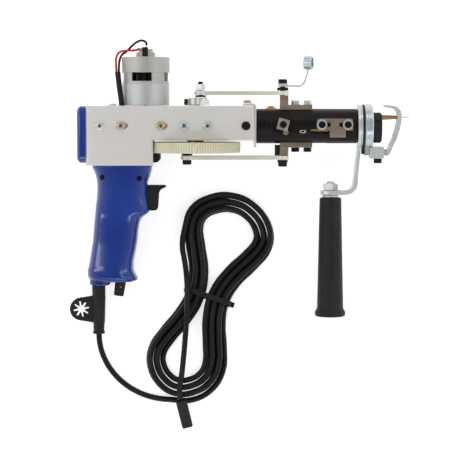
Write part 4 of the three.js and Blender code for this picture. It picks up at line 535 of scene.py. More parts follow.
def sided(radius, count, turn=0):
    angles = [math.radians(turn) + math.tau * i / count for i in range(count)]
    return [(radius * math.cos(a), radius * math.sin(a)) for a in angles]


PAN = [(0, 0), (4.55, 0), (4.58, 0.5), (4.5, 1.0), (4.2, 1.55), (3.75, 1.95), (3.1, 2.25), (2.5, 2.38)]


def pan_head(place, turn=0, size=1):
    rows = [(radius * size, height * size) for radius, height in PAN]
    turned = place @ Matrix.Rotation(math.radians(turn), 4, "Z")
    return driven(rows, cross(1.95 * size, 0.48 * size), 1.5 * size, turned)


def cap_head(place, radius, height):
    """Socket head cap screw: knurled side, chamfered top, hexagon socket."""
    rows = [(0, 0), (radius - 0.25, 0), (radius, 0.3), (radius, height - 0.75), (radius - 0.45, height - 0.1)]
    rows += [(radius - 0.9, height)]
    knurl = (0.2, height - 0.6, 0.22)
    return driven(rows, sided(0.52 * radius, 6), 0.55 * height, place, 72, knurl, 1)


def hexagonal(flats, height, place, turn=0):
    """A hexagon nut or head with its corners turned down at the top."""
    form = cast(sided(flats / 2 / math.cos(math.pi / 6), 6, 30 + turn), height)
    top = [v for v in form.verts if v.co.z > height / 2]
    corner = {"offset": 0.11 * flats, "affect": "VERTICES", "segments": 1, "profile": 0.5, "material": -1}
    bmesh.ops.bevel(form, geom=top, **corner)
    bmesh.ops.transform(form, matrix=place, verts=form.verts)
    return form


def hoop(inner, outer, low, high, place, edge=0.25, steps=64):
    """A washer or ring with broken edges."""
    rows = [(inner, low), (outer - edge, low), (outer, low + edge), (outer, high - edge)]
    return spun(rows + [(outer - edge, high), (inner, high), (inner, low)], place, steps)


def stud(radius, low, high, place, pitch, plain):
    """A threaded end: rounded crests along its length, after a plain part."""
    rows = [(0, low), (radius, low), (radius, low + plain)]
    turns = max(2, round((high - low - plain) / pitch))
    for i in range(turns):
        base = low + plain + (high - low - plain) * i / turns
        rows += [(radius - 0.28, base + 0.15 * pitch), (radius, base + 0.6 * pitch)]
    rows += [(radius - 0.45, high), (0, high)]
    return spun(rows, place, 32)


def arc(x, y, radius, start, end, steps=10):
    angles = [math.radians(start + (end - start) * i / steps) for i in range(steps + 1)]
    return [(x + radius * math.cos(a), y + radius * math.sin(a)) for a in angles]


def strand(name, points, radius, body, material, covers=None):
    """A wire or lead through points in the machine's axes."""
    piece = smooth_curve(name, [LAID @ Vector(point) for point in points], radius / 1000, 10)
    piece.data.materials.append(material)
    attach(piece, body)
    if covers:
        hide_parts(covers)


# Housing: the folded sheet with its screws, each with its own plating and driver recess
SCREW_ROW, SIDE_FACE = 0.6, 25
SLOTTED = (-69.83, -32.28)
SIDES = (1, "near"), (-1, "far")


def shorten_slot(shell, x, side):
    """Closes the front of an adjusting slot, so that it ends just ahead of its screw's washer."""
    def inside(point):
        near = x - 3 < point.x < x + 10.7 and abs(point.y - SCREW_ROW) < 2.9
        return near and SIDE_FACE - 3 < side * point.z < SIDE_FACE + 0.2

    walls = [f for f in shell.faces if all(inside(v.co) for v in f.verts) and abs(f.normal.z) < 0.5]
    bmesh.ops.delete(shell, geom=walls, context="FACES")
    mouths = []
    half, reach, middle = 2.1, 4.6, SIDE_FACE - 0.6
    for outer in (True, False):
        rim = open_edges(shell, lambda corner: inside(corner) and (side * corner.z > middle) == outer)
        if not rim:
            return
        level = rim[0].verts[0].co.z
        points = arc(x, SCREW_ROW, half, 90, 270) + arc(x + reach, SCREW_ROW, half, -90, 90)
        mouths.append(ring_of(shell, [(a, b, level) for a, b in points]))
        bmesh.ops.bridge_loops(shell, edges=rim + mouths[-1])
    bmesh.ops.bridge_loops(shell, edges=mouths[0] + mouths[1])
    bmesh.ops.recalc_face_normals(shell, faces=shell.faces)


def dress_housing():
    shell = taken("housing_shell")
    for side, _ in SIDES:
        sliced(shell, (0, 0, side * (SIDE_FACE + 0.004)), (0, 0, side), dist=1e-3, clear_outer=True)
    bmesh.ops.holes_fill(shell, edges=open_edges(shell, lambda corner: True), sides=0)
    for x in SLOTTED:
        for side, _ in SIDES:
            shorten_slot(shell, x, side)
    piece = keep("housing_sheet", shell, SHEET, covers="housing_shell", smooth=20)
    rounded(piece, 0.45, 24)
    for number, (x, plating, turn, size) in enumerate((
        (-89.7, ZINC, 12, 1),
        (SLOTTED[0], TAN_ZINC, 38, 0.91),
        (SLOTTED[1], TAN_ZINC, 5, 0.91),
        (-10.15, BLUE_ZINC, 50, 1),
        (11.85, BLUE_ZINC, 20, 1),
        (48.1, BLACK_OXIDE, 33, 0.9),
    )):
        for side, name in SIDES:
            lift = 0.45 if x in SLOTTED else 0
            seat = pointing((x, SCREW_ROW, side * (SIDE_FACE - 0.01 + lift)), (0, 0, side))
            head = [(pan_head(seat, turn, size), 0)]
            if lift:
                # A washer that spans the slot, and behind it, inside the housing, a black sheet of painted
                # shade that darkens the slot
                middle = pointing((x + 1.9, SCREW_ROW, 0), (0, 0, side))
                head.append((hoop(1.6, 3.7, SIDE_FACE - 0.05, SIDE_FACE + lift, middle, 0.15, 40), 0))
                depth = side * (SIDE_FACE - 2.6)
                head.append((block((x - 5, -3.4, depth - 0.3), (x + 9, 4.6, depth + 0.3)), 1))
            keep(f"housing_screw_{name}_{number + 1}", joined(*head), plating, BLACK_OXIDE)


# Motor: rolled can with its windows and flux ring, split band, end cap with the bearing's boss
def dress_motor():
    stand, foot, seam, top = upright(MOTOR), 19.8, 40.2, 65.4
    rows = [(3.1, foot), (22.1, foot), (22.5, 20.2), (22.5, 30), (22.5, 39.8), (22.2, seam)]
    rows += [(22.1, 40.3), (22.1, 46), (22.1, 52), (22.1, 58), (22.1, top)]
    can = spun(rows, stand, 120)
    for face in can.faces:
        face.material_index = 0 if face.calc_center_median().y < seam + 0.02 else 1
    half, low, high = 9.7, 42.8, 50.9
    window(can, (MOTOR - half, low, None), (MOTOR + half, high, None))
    window(can, (None, low, -half), (None, high, half))
    about = stand @ Matrix.Rotation(math.radians(-8.4), 4, "Z") @ stand.inverted()
    bmesh.ops.transform(can, matrix=about, verts=can.verts)
    piece = keep("motor_can_rolled", can, RING, CAN, covers="motor_can")
    rounded(walled(piece, 1.2), 0.2, 35)
    band, split = spun([(22.6, 50.8), (22.8, 51), (22.8, 58), (22.8, 65.2), (22.6, top)], stand, 120), 0.4
    window(band, (MOTOR - split, 50, None), (MOTOR + split, 66, 0))
    piece = keep("motor_band_rolled", band, CAN, covers="motor_band")
    rounded(walled(piece, 0.62), 0.12, 40)
    rows = [(3.2, 63.1), (19.9, 63.1), (19.9, 65.5), (19.7, 65.7), (15.6, 65.7), (15.2, 65.5), (12.8, 65.5)]
    rows += [(12.4, 65.7), (9.6, 65.7), (9.2, 66.1), (9.2, 69.6), (8.7, 70.1), (7.3, 70.1), (7, 70.4)]
    rows += [(7, 72.9), (6.5, 73.45), (0, 73.45)]
    keep("motor_cap_drawn", spun(rows, stand, 96), CAN, covers="motor_end_cap")
    slots = [(0, 28.9), (14, 28.9), (14, 54.7), (12.5, 54.9), (7.2, 55.4), (7, 62.7), (0, 62.7)]
    parts = [
        (spun(slots, stand, 24, (28, 55, 1.6)), 0),
        (spun([(6, 25.6), (10.5, 24.6), (12.6, 26.4), (12.4, 28.9), (4, 28.9)], stand, 48), 1),
        (spun([(4, 54.7), (12.4, 54.7), (12.4, 57.2), (10.3, 59), (7.2, 58.2)], stand, 48), 1),
        (spun([(0, -26.1), (2.3, -26.1), (2.5, -25.9), (2.5, 69.6), (0, 69.8)], stand, 32), 2),
    ]
    finishes = BLACK_OXIDE, COPPER, POLISHED
    keep("motor_armature", joined(*parts), *finishes, body="motor_rotor", covers="motor_rotor")


# Barrel: a turned tube with its slots and flats, and the grease cap on its far side
ALONG = pointing((0, 0, 0), (1, 0, 0))
NECK = 14.7  # the bore of the rings that sit on its neck


def dress_barrel():
    rows = [(0, 58.2), (15.9, 58.2), (16.5, 58.8), (16.5, 90), (16.5, 122), (16.5, 153.4), (15.6, 154.35)]
    tube = spun(rows + [(13.2, 154.38)], ALONG, 96)
    window(tube, (82.58, 0.9, -3.2), (110.09, None, 3.2))
    window(tube, (92.58, None, -3.2), (126.09, -0.9, 3.2))
    window(tube, (92.58, -7.1, 0), (126.09, -2.9, None))
    flat, step = 15.3, 0.03
    for rear, front in ((72.7, 94.1), (115.1, 149.7)):
        sliced(tube, (0, 0, flat), (0, 0, 1), dist=CLOSE)
        for x in (rear - step, rear, front, front + step):
            sliced(tube, (x, 0, 0), (1, 0, 0), dist=CLOSE)
        for vert in tube.verts:
            if vert.co.z > flat and rear - step / 3 < vert.co.x < front + step / 3:
                vert.co.z = flat
    piece = keep("barrel_turned", tube, BLACK_OXIDE, covers="barrel", smooth=24)
    rounded(walled(piece, 3.6), 0.3, 40)
    rows = [(12.9, 152), (14.4, 152), (14.4, 168.4), (14.1, 168.7), (12.9, 168.7), (12.9, 152)]
    keep("barrel_neck", spun(rows, ALONG, 72), BLACK_OXIDE)
    leaning = Matrix.Translation((72.6, 0, 0)) @ Matrix.Rotation(math.radians(-40), 4, "X") @ upright(0)
    rows = [(0, 14), (5.2, 14), (5.35, 16.2), (5.35, 19.4), (5.1, 20.7), (4.4, 21.8), (3.2, 22.6)]
    keep("grease_cap", spun(rows + [(1.6, 22.95), (0, 23)], leaning, 48), BRASS)


# Pistol grip: rows down its length with its rear edge, front edge and half thickness as shares
GRIP_ROWS = [
    (0, 0.077, 1, 1),
    (0.087, 0.131, 0.97, 0.99),
    (0.172, 0.155, 0.925, 0.97),
    (0.262, 0.15, 0.925, 0.95),
    (0.351, 0.132, 0.95, 0.92),
    (0.394, 0.124, 0.955, 0.9),
    (0.463, 0.113, 0.83, 0.88),
    (0.549, 0.099, 0.785, 0.86),
    (0.642, 0.085, 0.769, 0.86),
    (0.747, 0.057, 0.737, 0.89),
    (0.854, 0.026, 0.706, 0.94),
    (0.915, 0, 0.713, 0.98),
    (0.962, 0.008, 0.76, 1),
    (0.985, 0.04, 0.775, 0.96),
    (1, 0.09, 0.74, 0.88),
]
GRIP_TOP, GRIP_LENGTH, GRIP_REAR, GRIP_REACH, GRIP_HALF = -36.9, 111.3, -103.6, 62.7, 20
GRIP_SQUARE = 1.3  # 1 for an oval section, more for a squarer one
GRIP_SCREWS = ((-88.36, -48.36), (-52.81, -49.37))


def grip_row(share):
    """The row at a share of the length, on smooth curves through the rows."""
    i = max(k for k, row in enumerate(GRIP_ROWS[:-1]) if row[0] <= share + 1e-9)
    one, two = GRIP_ROWS[i], GRIP_ROWS[i + 1]
    before, after = GRIP_ROWS[max(i - 1, 0)], GRIP_ROWS[min(i + 2, len(GRIP_ROWS) - 1)]
    t = (share - one[0]) / (two[0] - one[0])
    row = []
    for k in (1, 2, 3):
        slope_one = (two[k] - before[k]) / (two[0] - before[0]) * (two[0] - one[0])
        slope_two = (after[k] - one[k]) / (after[0] - one[0]) * (two[0] - one[0])
        flat = (two[k] - one[k]) * (one[k] - before[k]) <= 0
        slope_one = 0 if flat else slope_one
        flat = (after[k] - two[k]) * (two[k] - one[k]) <= 0
        slope_two = 0 if flat else slope_two
        a, b = 2 * t**3 - 3 * t**2 + 1, t**3 - 2 * t**2 + t
        c, d = 3 * t**2 - 2 * t**3, t**3 - t**2
        row.append(a * one[k] + b * slope_one + c * two[k] + d * slope_two)
    return row


def grip_arc(share):
    """Half of the grip's section at a share of its length, from its front seam round to its rear seam."""
    rear, front, half = grip_row(share)
    rear, front, half = GRIP_REAR + rear * GRIP_REACH, GRIP_REAR + front * GRIP_REACH, half * GRIP_HALF
    middle, reach = (rear + front) / 2, (front - rear) / 2
    level = GRIP_TOP - share * GRIP_LENGTH
    seam = math.asin((0.15 / half) ** GRIP_SQUARE)
    columns = 44
    points = []
    for i in range(columns + 1):
        angle = seam + (math.pi - 2 * seam) * i / columns
        c, s = math.cos(angle), math.sin(angle)
        x = middle + reach * math.copysign(abs(c) ** (1 / GRIP_SQUARE), c)
        points.append(Vector((x, level, half * s ** (1 / GRIP_SQUARE))))
    return points


def lofted(rows):
    """A skin through rows of points, made by extruding the first row from each to the next."""
    form = bmesh.new()
    row = [form.verts.new(point) for point in rows[0]]
    edges = [form.edges.new(pair) for pair in zip(row, row[1:])]
    for points in rows[1:]:
        made = bmesh.ops.extrude_edge_only(form, edges=edges)["geom"]
        fresh = set(only(BMVert, made))
        row = [next(e.other_vert(v) for e in v.link_edges if e.other_vert(v) in fresh) for v in row]
        for vert, point in zip(row, points):
            vert.co = point
        edges = [form.edges.get(pair) for pair in zip(row, row[1:])]
    form.faces.new(row)
    bmesh.ops.recalc_face_normals(form, faces=form.faces)
    return form


def screw_well(form, x, y):
    """A round recess for a screw, sunk into the grip's near side."""
    place, floor = Vector((x, y)), 14.1
    near = [face for face in form.faces if (face.calc_center_median().xy - place).length < 3.7]
    bmesh.ops.delete(form, geom=near, context="FACES")
    rim = open_edges(form, lambda corner: (corner.xy - place).length < 6)
    ring = []
    for a, b in sided(2.7, 32):
        rear, front, half = grip_row((GRIP_TOP - y - b) / GRIP_LENGTH)
        c = abs(2 * (x + a - GRIP_REAR) / GRIP_REACH - front - rear) / (front - rear)
        height = half * GRIP_HALF * (1 - c ** (2 * GRIP_SQUARE)) ** (0.5 / GRIP_SQUARE)
        ring.append((x + a, y + b, height))
    mouth = ring_of(form, ring)
    bmesh.ops.bridge_loops(form, edges=rim + mouth)
    made = bmesh.ops.extrude_edge_only(form, edges=mouth)["geom"]
    for vert in only(BMVert, made):
        vert.co.z = floor
    bmesh.ops.edgeloop_fill(form, edges=only(BMEdge, made))


def dress_grip():
    shares = sorted({i / 64 for i in range(65)} | {row[0] for row in GRIP_ROWS[-5:]})
    for name, side in (("grip_right", 1), ("grip_left", -1)):
        half = lofted([grip_arc(share) for share in shares])
        window(half, (None, -80.9, None), (None, -55.9, 5.8), lambda middle: middle.x > -66)
        if side > 0:
            for x, y in GRIP_SCREWS:
                screw_well(half, x, y)
        else:
            bmesh.ops.scale(half, vec=(1, 1, -1), verts=half.verts)
        bmesh.ops.recalc_face_normals(half, faces=half.faces)
        walled(keep(name + "_moulding", half, BLUE, covers=name, smooth=40), 2.4)
    for number, (x, y) in enumerate(GRIP_SCREWS):
        head = pan_head(pointing((x, y, 14.2), (0, 0, 1)), 20 + 40 * number, 0.46)
        keep(f"grip_screw_{number + 1}", head, BLACK_OXIDE)
    rows = [(9.3, -139.8), (10, -140.4), (10, -151.5), (9, -152.5), (0, -152.5)]
    keep("grip_collar", spun(rows, upright(-91.7)), BLUE)


# Trigger: a plate with a rounded nose and a horn above the finger
def bent(points, control, end, steps=6):
    """Adds a quadratic curve to an outline."""
    start, control, end = Vector(points[-1]), Vector(control), Vector(end)
    for i in range(1, steps + 1):
        t = i / steps
        points.append(tuple((1 - t) ** 2 * start + 2 * t * (1 - t) * control + t * t * end))


def dress_trigger():
    root, nose, horn, top, low, corner = -56, -35.6, -28.1, -56.2, -80.6, 4.07
    points = [(root, low), (nose - corner, low)]
    bent(points, (nose, low), (nose, low + corner))
    points.append((nose + 0.2 * corner, top - 2.2 * corner))
    bent(points, (nose + 0.25 * corner, top - 0.9 * corner), (horn, top - 0.55 * corner), 9)
    bent(points, (horn + 0.125 * corner, top), (horn - 0.5 * corner, top))
    points.append((root, top))
    width = 11
    form = cast(points, width, Matrix.Translation((0, 0, -width / 2)))
    piece = keep("trigger_moulding", form, BLACK_PLASTIC, body="trigger", covers="trigger", smooth=50)
    rounded(piece, 0.9, 40, 3)


# Leads: down from the terminals into one shrunk sleeve
def dress_leads():
    def route(shares):
        """Points at shares of the motor's radius along and across it, and of its height."""
        return [(MOTOR + 22.8 * along, 19.8 + 45.6 * up, 22.8 * out) for along, up, out in shares]

    red = route([
        (-0.219, 1.178, 0.478), (-0.386, 1.143, 0.478), (-0.605, 1.136, 0.469), (-0.846, 1.129, 0.456),
        (-1.088, 1.092, 0.439), (-1.202, 0.991, 0.425), (-1.215, 0.838, 0.417), (-1.202, 0.68, 0.412),
    ])
    black = route([
        (0.072, 1.24, 0.601), (0.035, 1.302, 0.601), (-0.132, 1.34, 0.601), (-0.325, 1.311, 0.601),
        (-0.583, 1.211, 0.5), (-0.81, 1.105, 0.36), (-0.985, 1.045, 0.25), (-1.08, 0.93, 0.22),
        (-1.1, 0.8, 0.34), (-1.1, 0.68, 0.465),
    ])
    sleeve = route([
        (-1.149, 0.692, 0.439), (-1.07, 0.355, 0.482), (-0.982, 0.024, 0.539), (-0.982, -0.088, 0.539),
    ])
    strand("red_lead", red, 1.1, "machine", RED_PVC, "motor_lead_red")
    strand("black_lead", black, 1.1, "machine", PVC, "motor_lead_black")
    strand("shrunk_sleeve", sleeve, 2.6, "machine", SHRINK, "lead_sleeve")
    parts = [
        (block((-49.9, 65.75, 9.8), (-44.5, 74.7, 14.8)), 0),
        (block((-51.9, 72.9, 10.8), (-49.5, 74.4, 11.6)), 1),
        (block((-46.7, 74.3, 12.9), (-45.4, 76.6, 13.7)), 1),
    ]
    finishes = BLACK_PLASTIC, ZINC
    rounded(keep("terminal_block", joined(*parts), *finishes, covers="motor_terminals"), 0.3)


# Crank block, rods and the stacks of washers, nuts and screws on their pins
def dress_rods():
    hub = spun([(4.1, 20), (6, 20), (6.6, 20.6), (6.6, 26.6), (6, 27.2), (4.1, 27.2), (4.1, 20)], upright(0))
    boss = hoop(2.6, 6.4, 24.4, 27.2, upright(CRANK_UP), 0.5)
    nut = hexagonal(11, 5.2, pointing((8, 20, 0), (0, 1, 0)))
    parts = (hub, 0), (boss, 0), (nut, 0)
    keep("crank_block_turned", joined(*parts), ZINC, body="drive_shaft", covers="crank_block")
    head = cap_head(pointing((-6.9, 23, 0), (-1, 0, 0)), 3, 3.8)
    keep("crank_clamp_head", head, BLACK_OXIDE, body="drive_shaft", covers="crank_clamp_screw")

    end, half, thickness = 6, 4, 4
    reach = math.degrees(math.asin(half / end))
    for name, crank, level in (("upper_rod", CRANK_UP, 31.5), ("lower_rod", CRANK_DOWN, -30.2)):
        points = arc(crank, 0, end, reach, 360 - reach, 28)
        points += arc(WRIST, 0, end, reach - 180, 180 - reach, 28)
        holes = [arc(x, 0, 2.9, 0, 345, 23) for x in (crank, WRIST)]
        lying = Matrix.Translation((0, level + 2, 0)) @ Matrix.Rotation(math.radians(90), 4, "X")
        link = cast(points, thickness, lying, holes)
        rounded(keep(name + "_link", link, ROD, body=name, covers=name), 0.45, 40)

    for name, body, node, finishes, parts in (
        ("upper_crank_stack", "upper_rod", "upper_crank_bolt", (ZINC, BLACK_OXIDE), (
            (hoop(M5, 5.2, 27.6, 29.2, upright(CRANK_UP)), 1),
            (hoop(M5, 4.9, 33.8, 35, upright(CRANK_UP)), 0),
            (hexagonal(8, 4.8, pointing((CRANK_UP, 35, 0), (0, 1, 0), 10)), 0),
            (stud(2.45, 28.9, 42.4, upright(CRANK_UP), 0.75, 9), 1),
        )),
        ("lower_crank_stack", "lower_rod", "lower_crank_screw", (BLACK_OXIDE,), (
            (hoop(M5, 5.2, 26, 27.9, upright(CRANK_DOWN, -1)), 0),
            (pin(M5, 26, 32.8, upright(CRANK_DOWN, -1), 32), 0),
            (cap_head(pointing((CRANK_DOWN, -32.5, 0), (0, -1, 0)), M5_HEAD, M5_HEAD), 0),
        )),
        ("upper_wrist_stack", "looper_carriage", "upper_wrist_screw", (BLACK_OXIDE, ZINC), (
            (pin(M5, 25.2, 40.6, upright(WRIST), 32), 0),
            (hoop(M5, 5.4, 33.85, 36.8, upright(WRIST), 0.4), 0),
            (hoop(M5, 5, 39.55, 40.4, upright(WRIST)), 1),
            (cap_head(pointing((WRIST, 40.4, 0), (0, 1, 0)), M5_HEAD, M5_HEAD), 0),
        )),
        ("lower_wrist_stack", "needle_carriage", "lower_wrist_screw", (BLACK_OXIDE,), (
            (pin(M5, 23.9, 34.6, upright(WRIST, -1), 32), 0),
            (hoop(M5, 5.2, 32.5, 34.4, upright(WRIST, -1), 0.4), 0),
            (cap_head(pointing((WRIST, -34.4, 0), (0, -1, 0)), M5_HEAD, M5_HEAD), 0),
        )),
    ):
        keep(name, joined(*parts), *finishes, body=body, covers=node)

    way = [(85.4, 38.45), (92.2, 38.45), (100, 38.45), (103.3, 40.7), (105.4, 45.95), (107.9, 55)]
    strand("yarn_wire", [(x, y, 0) for x, y in way], 1, "looper_carriage", ZINC)
    eye = hoop(2.8, 4.6, 37.45, 39.45, upright(WRIST), 0.6)
    eyelet = hoop(4.8, 6.7, -3.8, 3.8, pointing((107.9, 60.15, 0), (0.951, 0, 0.309)), 0.5)
    parts = (eye, 0), (eyelet, 1)
    keep("yarn_eyelet", joined(*parts), ZINC, BLUE_ZINC, body="looper_carriage", covers="yarn_guide")


# Front plate: one bent strip with the screw that holds it, and a like screw on top of the housing
def dress_plate():
    outer = arc(55.4, 19.2, 2.5, 0, 90)
    points = [(45.6, 19.8), (56, 19.8), (56, -19.8), (57.9, -19.8), *outer, (45.6, 21.7)]
    width = 40
    plate = cast(points, width, Matrix.Translation((0, 0, -width / 2)))
    rounded(keep("front_plate_bent", plate, SHEET, covers="front_plate"), 0.3, 40)
    rows = [(0, 0), (4.2, 0), (4.2, 0.5), (3.9, 1.3), (3.2, 2.1), (2.2, 2.6), (1.9, 2.68)]
    head = driven(rows, cross(1.5, 0.4), 1.1, pointing((49.8, 22, 0), (0, 1, 0), 20))
    keep("front_plate_head", head, TAN_ZINC, covers="front_plate_screw")
    rows = [(radius * 0.95, height * 0.8) for radius, height in rows]
    head = driven(rows, cross(1.4, 0.4), 0.9, pointing((-78.8, 19.5, 9), (0, 1, 0), 35))
    keep("housing_top_head", head, ZINC)


# Lock nut, height plate and their screws on the barrel's flats
def dress_barrel_fittings():
    half, seat = 5.35, Matrix.Translation((WRIST, 1.7, 15.6)) @ Matrix.Rotation(math.radians(-15), 4, "Z")
    nut = cast([(-half, -half), (half, -half), (half, half), (-half, half)], 3.2, seat, [sided(3.1, 32)])
    rounded(keep("lock_nut_square", nut, NUT_STEEL, covers="lock_nut", smooth=40), 0.6, 40)
    rows = [(0, 0), (3.05, 0), (3.05, 3.5), (2.7, 3.9)]
    screw = driven(rows, sided(1.55, 6), 2.4, Matrix.Translation((WRIST, 1.7, 15.7)), 32, floor=1)
    keep("lock_screw", screw, BLACK_OXIDE)
    small = hexagonal(4.8, 2.2, Matrix.Translation((85.9, -5.6, 15.6)), 10)
    keep("lock_screw_small", small, BROWNED)

    points = [(115.4, -4), (127.6, -4), (127.6, -10.5), (142.6, -10.5), (142.6, -4), (149.4, -4), (149.4, 6)]
    points += [(148.2, 7.2), (116.6, 7.2), (115.4, 6)]
    row, half = 1.6, 2.2
    slots = [arc(x, row, half, 270, 90) + arc(x + 7.2, row, half, 90, -90) for x in (119.1, 138.5)]
    plate = cast(points, 2, Matrix.Translation((0, 0, 15.6)), slots)
    rounded(keep("height_plate_milled", plate, BROWNED, covers="height_plate"), 0.25, 40)
    for node, x in (("height_screw_rear", 120.1), ("height_screw_front", 144.7)):
        place = Matrix.Translation((x, row, 0))
        washer = hoop(1.9, 4.9, 17.9, 18.7, place, 0.2)
        head = cap_head(Matrix.Translation((x, row, 18.7)), 3.5, 3)
        parts = (pin(1.9, 13, 18.7, place), 0), (washer, 1), (head, 0)
        keep(node + "_dressed", joined(*parts), BLACK_OXIDE, ZINC, covers=node)


# Brackets: a saddle milled to the barrel, a post to the rod and two hexagon head screws each
def dress_brackets():
    # In the side slot: a black block that fills it as painted shade, and a small oval zinc ring on it as a
    # painted glint
    oval = Matrix.Translation((102.1, -5, 0)) @ Matrix.Diagonal((1.6, 0.8, 1, 1))
    slot_shade_and_glint = block((92.9, -6.8, 11.6), (109.6, -3.2, 14.9)), hoop(1.2, 1.9, 14.8, 15.3, oval, 0.1, 32)
    keep("needle_slot_shade_and_glint", joined((slot_shade_and_glint[0], 0), (slot_shade_and_glint[1], 1)), BLACK_OXIDE, ZINC, body="needle_carriage")
    rear, top, half = 80.7, 20.4, 6
    for name, side, post, body, plating in (
        ("upper_bracket", 1, 29.2, "looper_carriage", ZINC),
        ("lower_bracket", -1, 27.9, "needle_carriage", BLACK_OXIDE),
    ):
        hollow = [(side * y, z) for y, z in arc(0, 0, 16.62, -21.1, 21.1, 12)]
        points = [(side * top, -half), *hollow, (side * top, half)]
        low, high = sorted((side * 20, side * post))
        forms = [
            (cast(points, 30.8, ALONG @ Matrix.Translation((0, 0, rear))), 0),
            (block((rear, low, -half), (88.7, high, half)), 0),
        ]
        if side < 0:
            forms.append((block((75.9, -27.9, -4), (80.8, -17.9, 4)), 1))
        for x in (95.5, 107.2):
            seat = pointing((x, side * top, 0), (0, side, 0), 30)
            forms.append((hexagonal(6.76, 4.2, seat), 2))
            forms.append((pin(2.3, -8.2, 0, seat), 2))
        finishes = BROWNED, BLACK_PLASTIC, plating
        rounded(keep(name + "_milled", joined(*forms), *finishes, body=body, covers=name), 0.3, 50)


# Front end: gasket with its shim, collar, ribbed nose, and the clamp block of the foot with its screw
def dress_front():
    ring = hoop(NECK, 20.7, 159.1, 161, ALONG, 0.5, 120)
    tongue = block((159.1, -26.6, -8), (161, -15.5, 8))
    shim = hoop(NECK, 20.5, 157.75, 159, ALONG, 0.2, 120)
    parts = (ring, 0), (tongue, 0), (shim, 1)
    keep("gasket_cut", joined(*parts), RUBBER, ZINC, covers="collar_gasket")
    ring = hoop(NECK, 21, 161.2, 169, ALONG, 0.9, 120)
    lug = block((161.2, -28, -6.5), (165.9, -15.5, 6.5))
    piece = keep("collar_turned", joined((ring, 0), (lug, 0)), BLUE_ZINC, covers="front_collar")
    rounded(piece, 0.35, 60)

    depth = 8.3
    form = spun([(13.2, 0), (14.5, 1.2), (14.5, 7.2), (13.5, depth)], Matrix(), 112, (0.9, 7.4, 0.3))
    holes = []
    for height in (0, depth):
        rim = open_edges(form, lambda corner: same(corner.z, height))
        holes.append(ring_of(form, [(9.8 + x, y, height) for x, y in sided(3.6, 28)]))
        bmesh.ops.bridge_loops(form, edges=rim + holes[-1])
    bmesh.ops.bridge_loops(form, edges=holes[0] + holes[1])
    nose = placed(form, pointing((169.3, -1.5, 0), (1, 0, 0)))
    keep("nose_ribbed", nose, BLACK_PLASTIC, covers="nose_ring")

    # The clamp block, of blocks round the channel that the foot's shank slides in
    rear, inner, front, half, slit = 166.2, 169.3, 179.9, 7.5, 4.3
    top, sunk, low = -19.6, -21.3, -30.8
    over, under = -26.1 + 2.4, -26.1 - 2.4
    body = joined(
        (block((rear, low, -half), (front, under, half)), 0),
        (block((rear, over, -half), (front, sunk, half)), 0),
        (block((rear, under, -half), (inner, over, half)), 0),
        (block((inner, under, slit), (front, over, half)), 0),
        (block((inner, under, -half), (front, over, -slit)), 0),
        (block((inner, sunk, -half), (front, top, half)), 0),
    )
    bmesh.ops.remove_doubles(body, verts=body.verts, dist=1e-3)
    keep("foot_clamp_block", body, ZINC, covers="foot_clamp")
    # A tapped hole on the clamp's top: a thin zinc ring round a flat disc of painted shade, which takes the
    # dark last slot
    hole = hoop(1.5, 2.3, -19.65, -19.5, upright(CLAMP), 0.02, 32)
    hole_shade = pin(1.9, -19.62, -19.55, upright(CLAMP), 32)
    keep("foot_clamp_painted_hole", joined((hole, 0), (hole_shade, 1)), ZINC)
    shank = pin(2, 28.6, 31.2, upright(CLAMP, -1))
    head = cap_head(pointing((CLAMP, -31.1, 0), (0, -1, 0)), 3.9, 4.4)
    parts = (shank, 0), (head, 0)
    keep("foot_clamp_head", joined(*parts), BLACK_OXIDE, covers="foot_clamp_screw")


# Presser foot: a bar bent along its way, forked beside the needle
FOOT_WAY = [
    (182.6, -26.1),
    (183.2, -26.05),
    (184.2, -24.9),
    (185.8, -20.7),
    (190.8, -9.5),
    (193.8, 1.5),
    (194.7, 10.4),
    (193.2, 14.9),
    (189.4, 17.9),
    (183.9, 18.8),
    (179.8, 19.4),
]


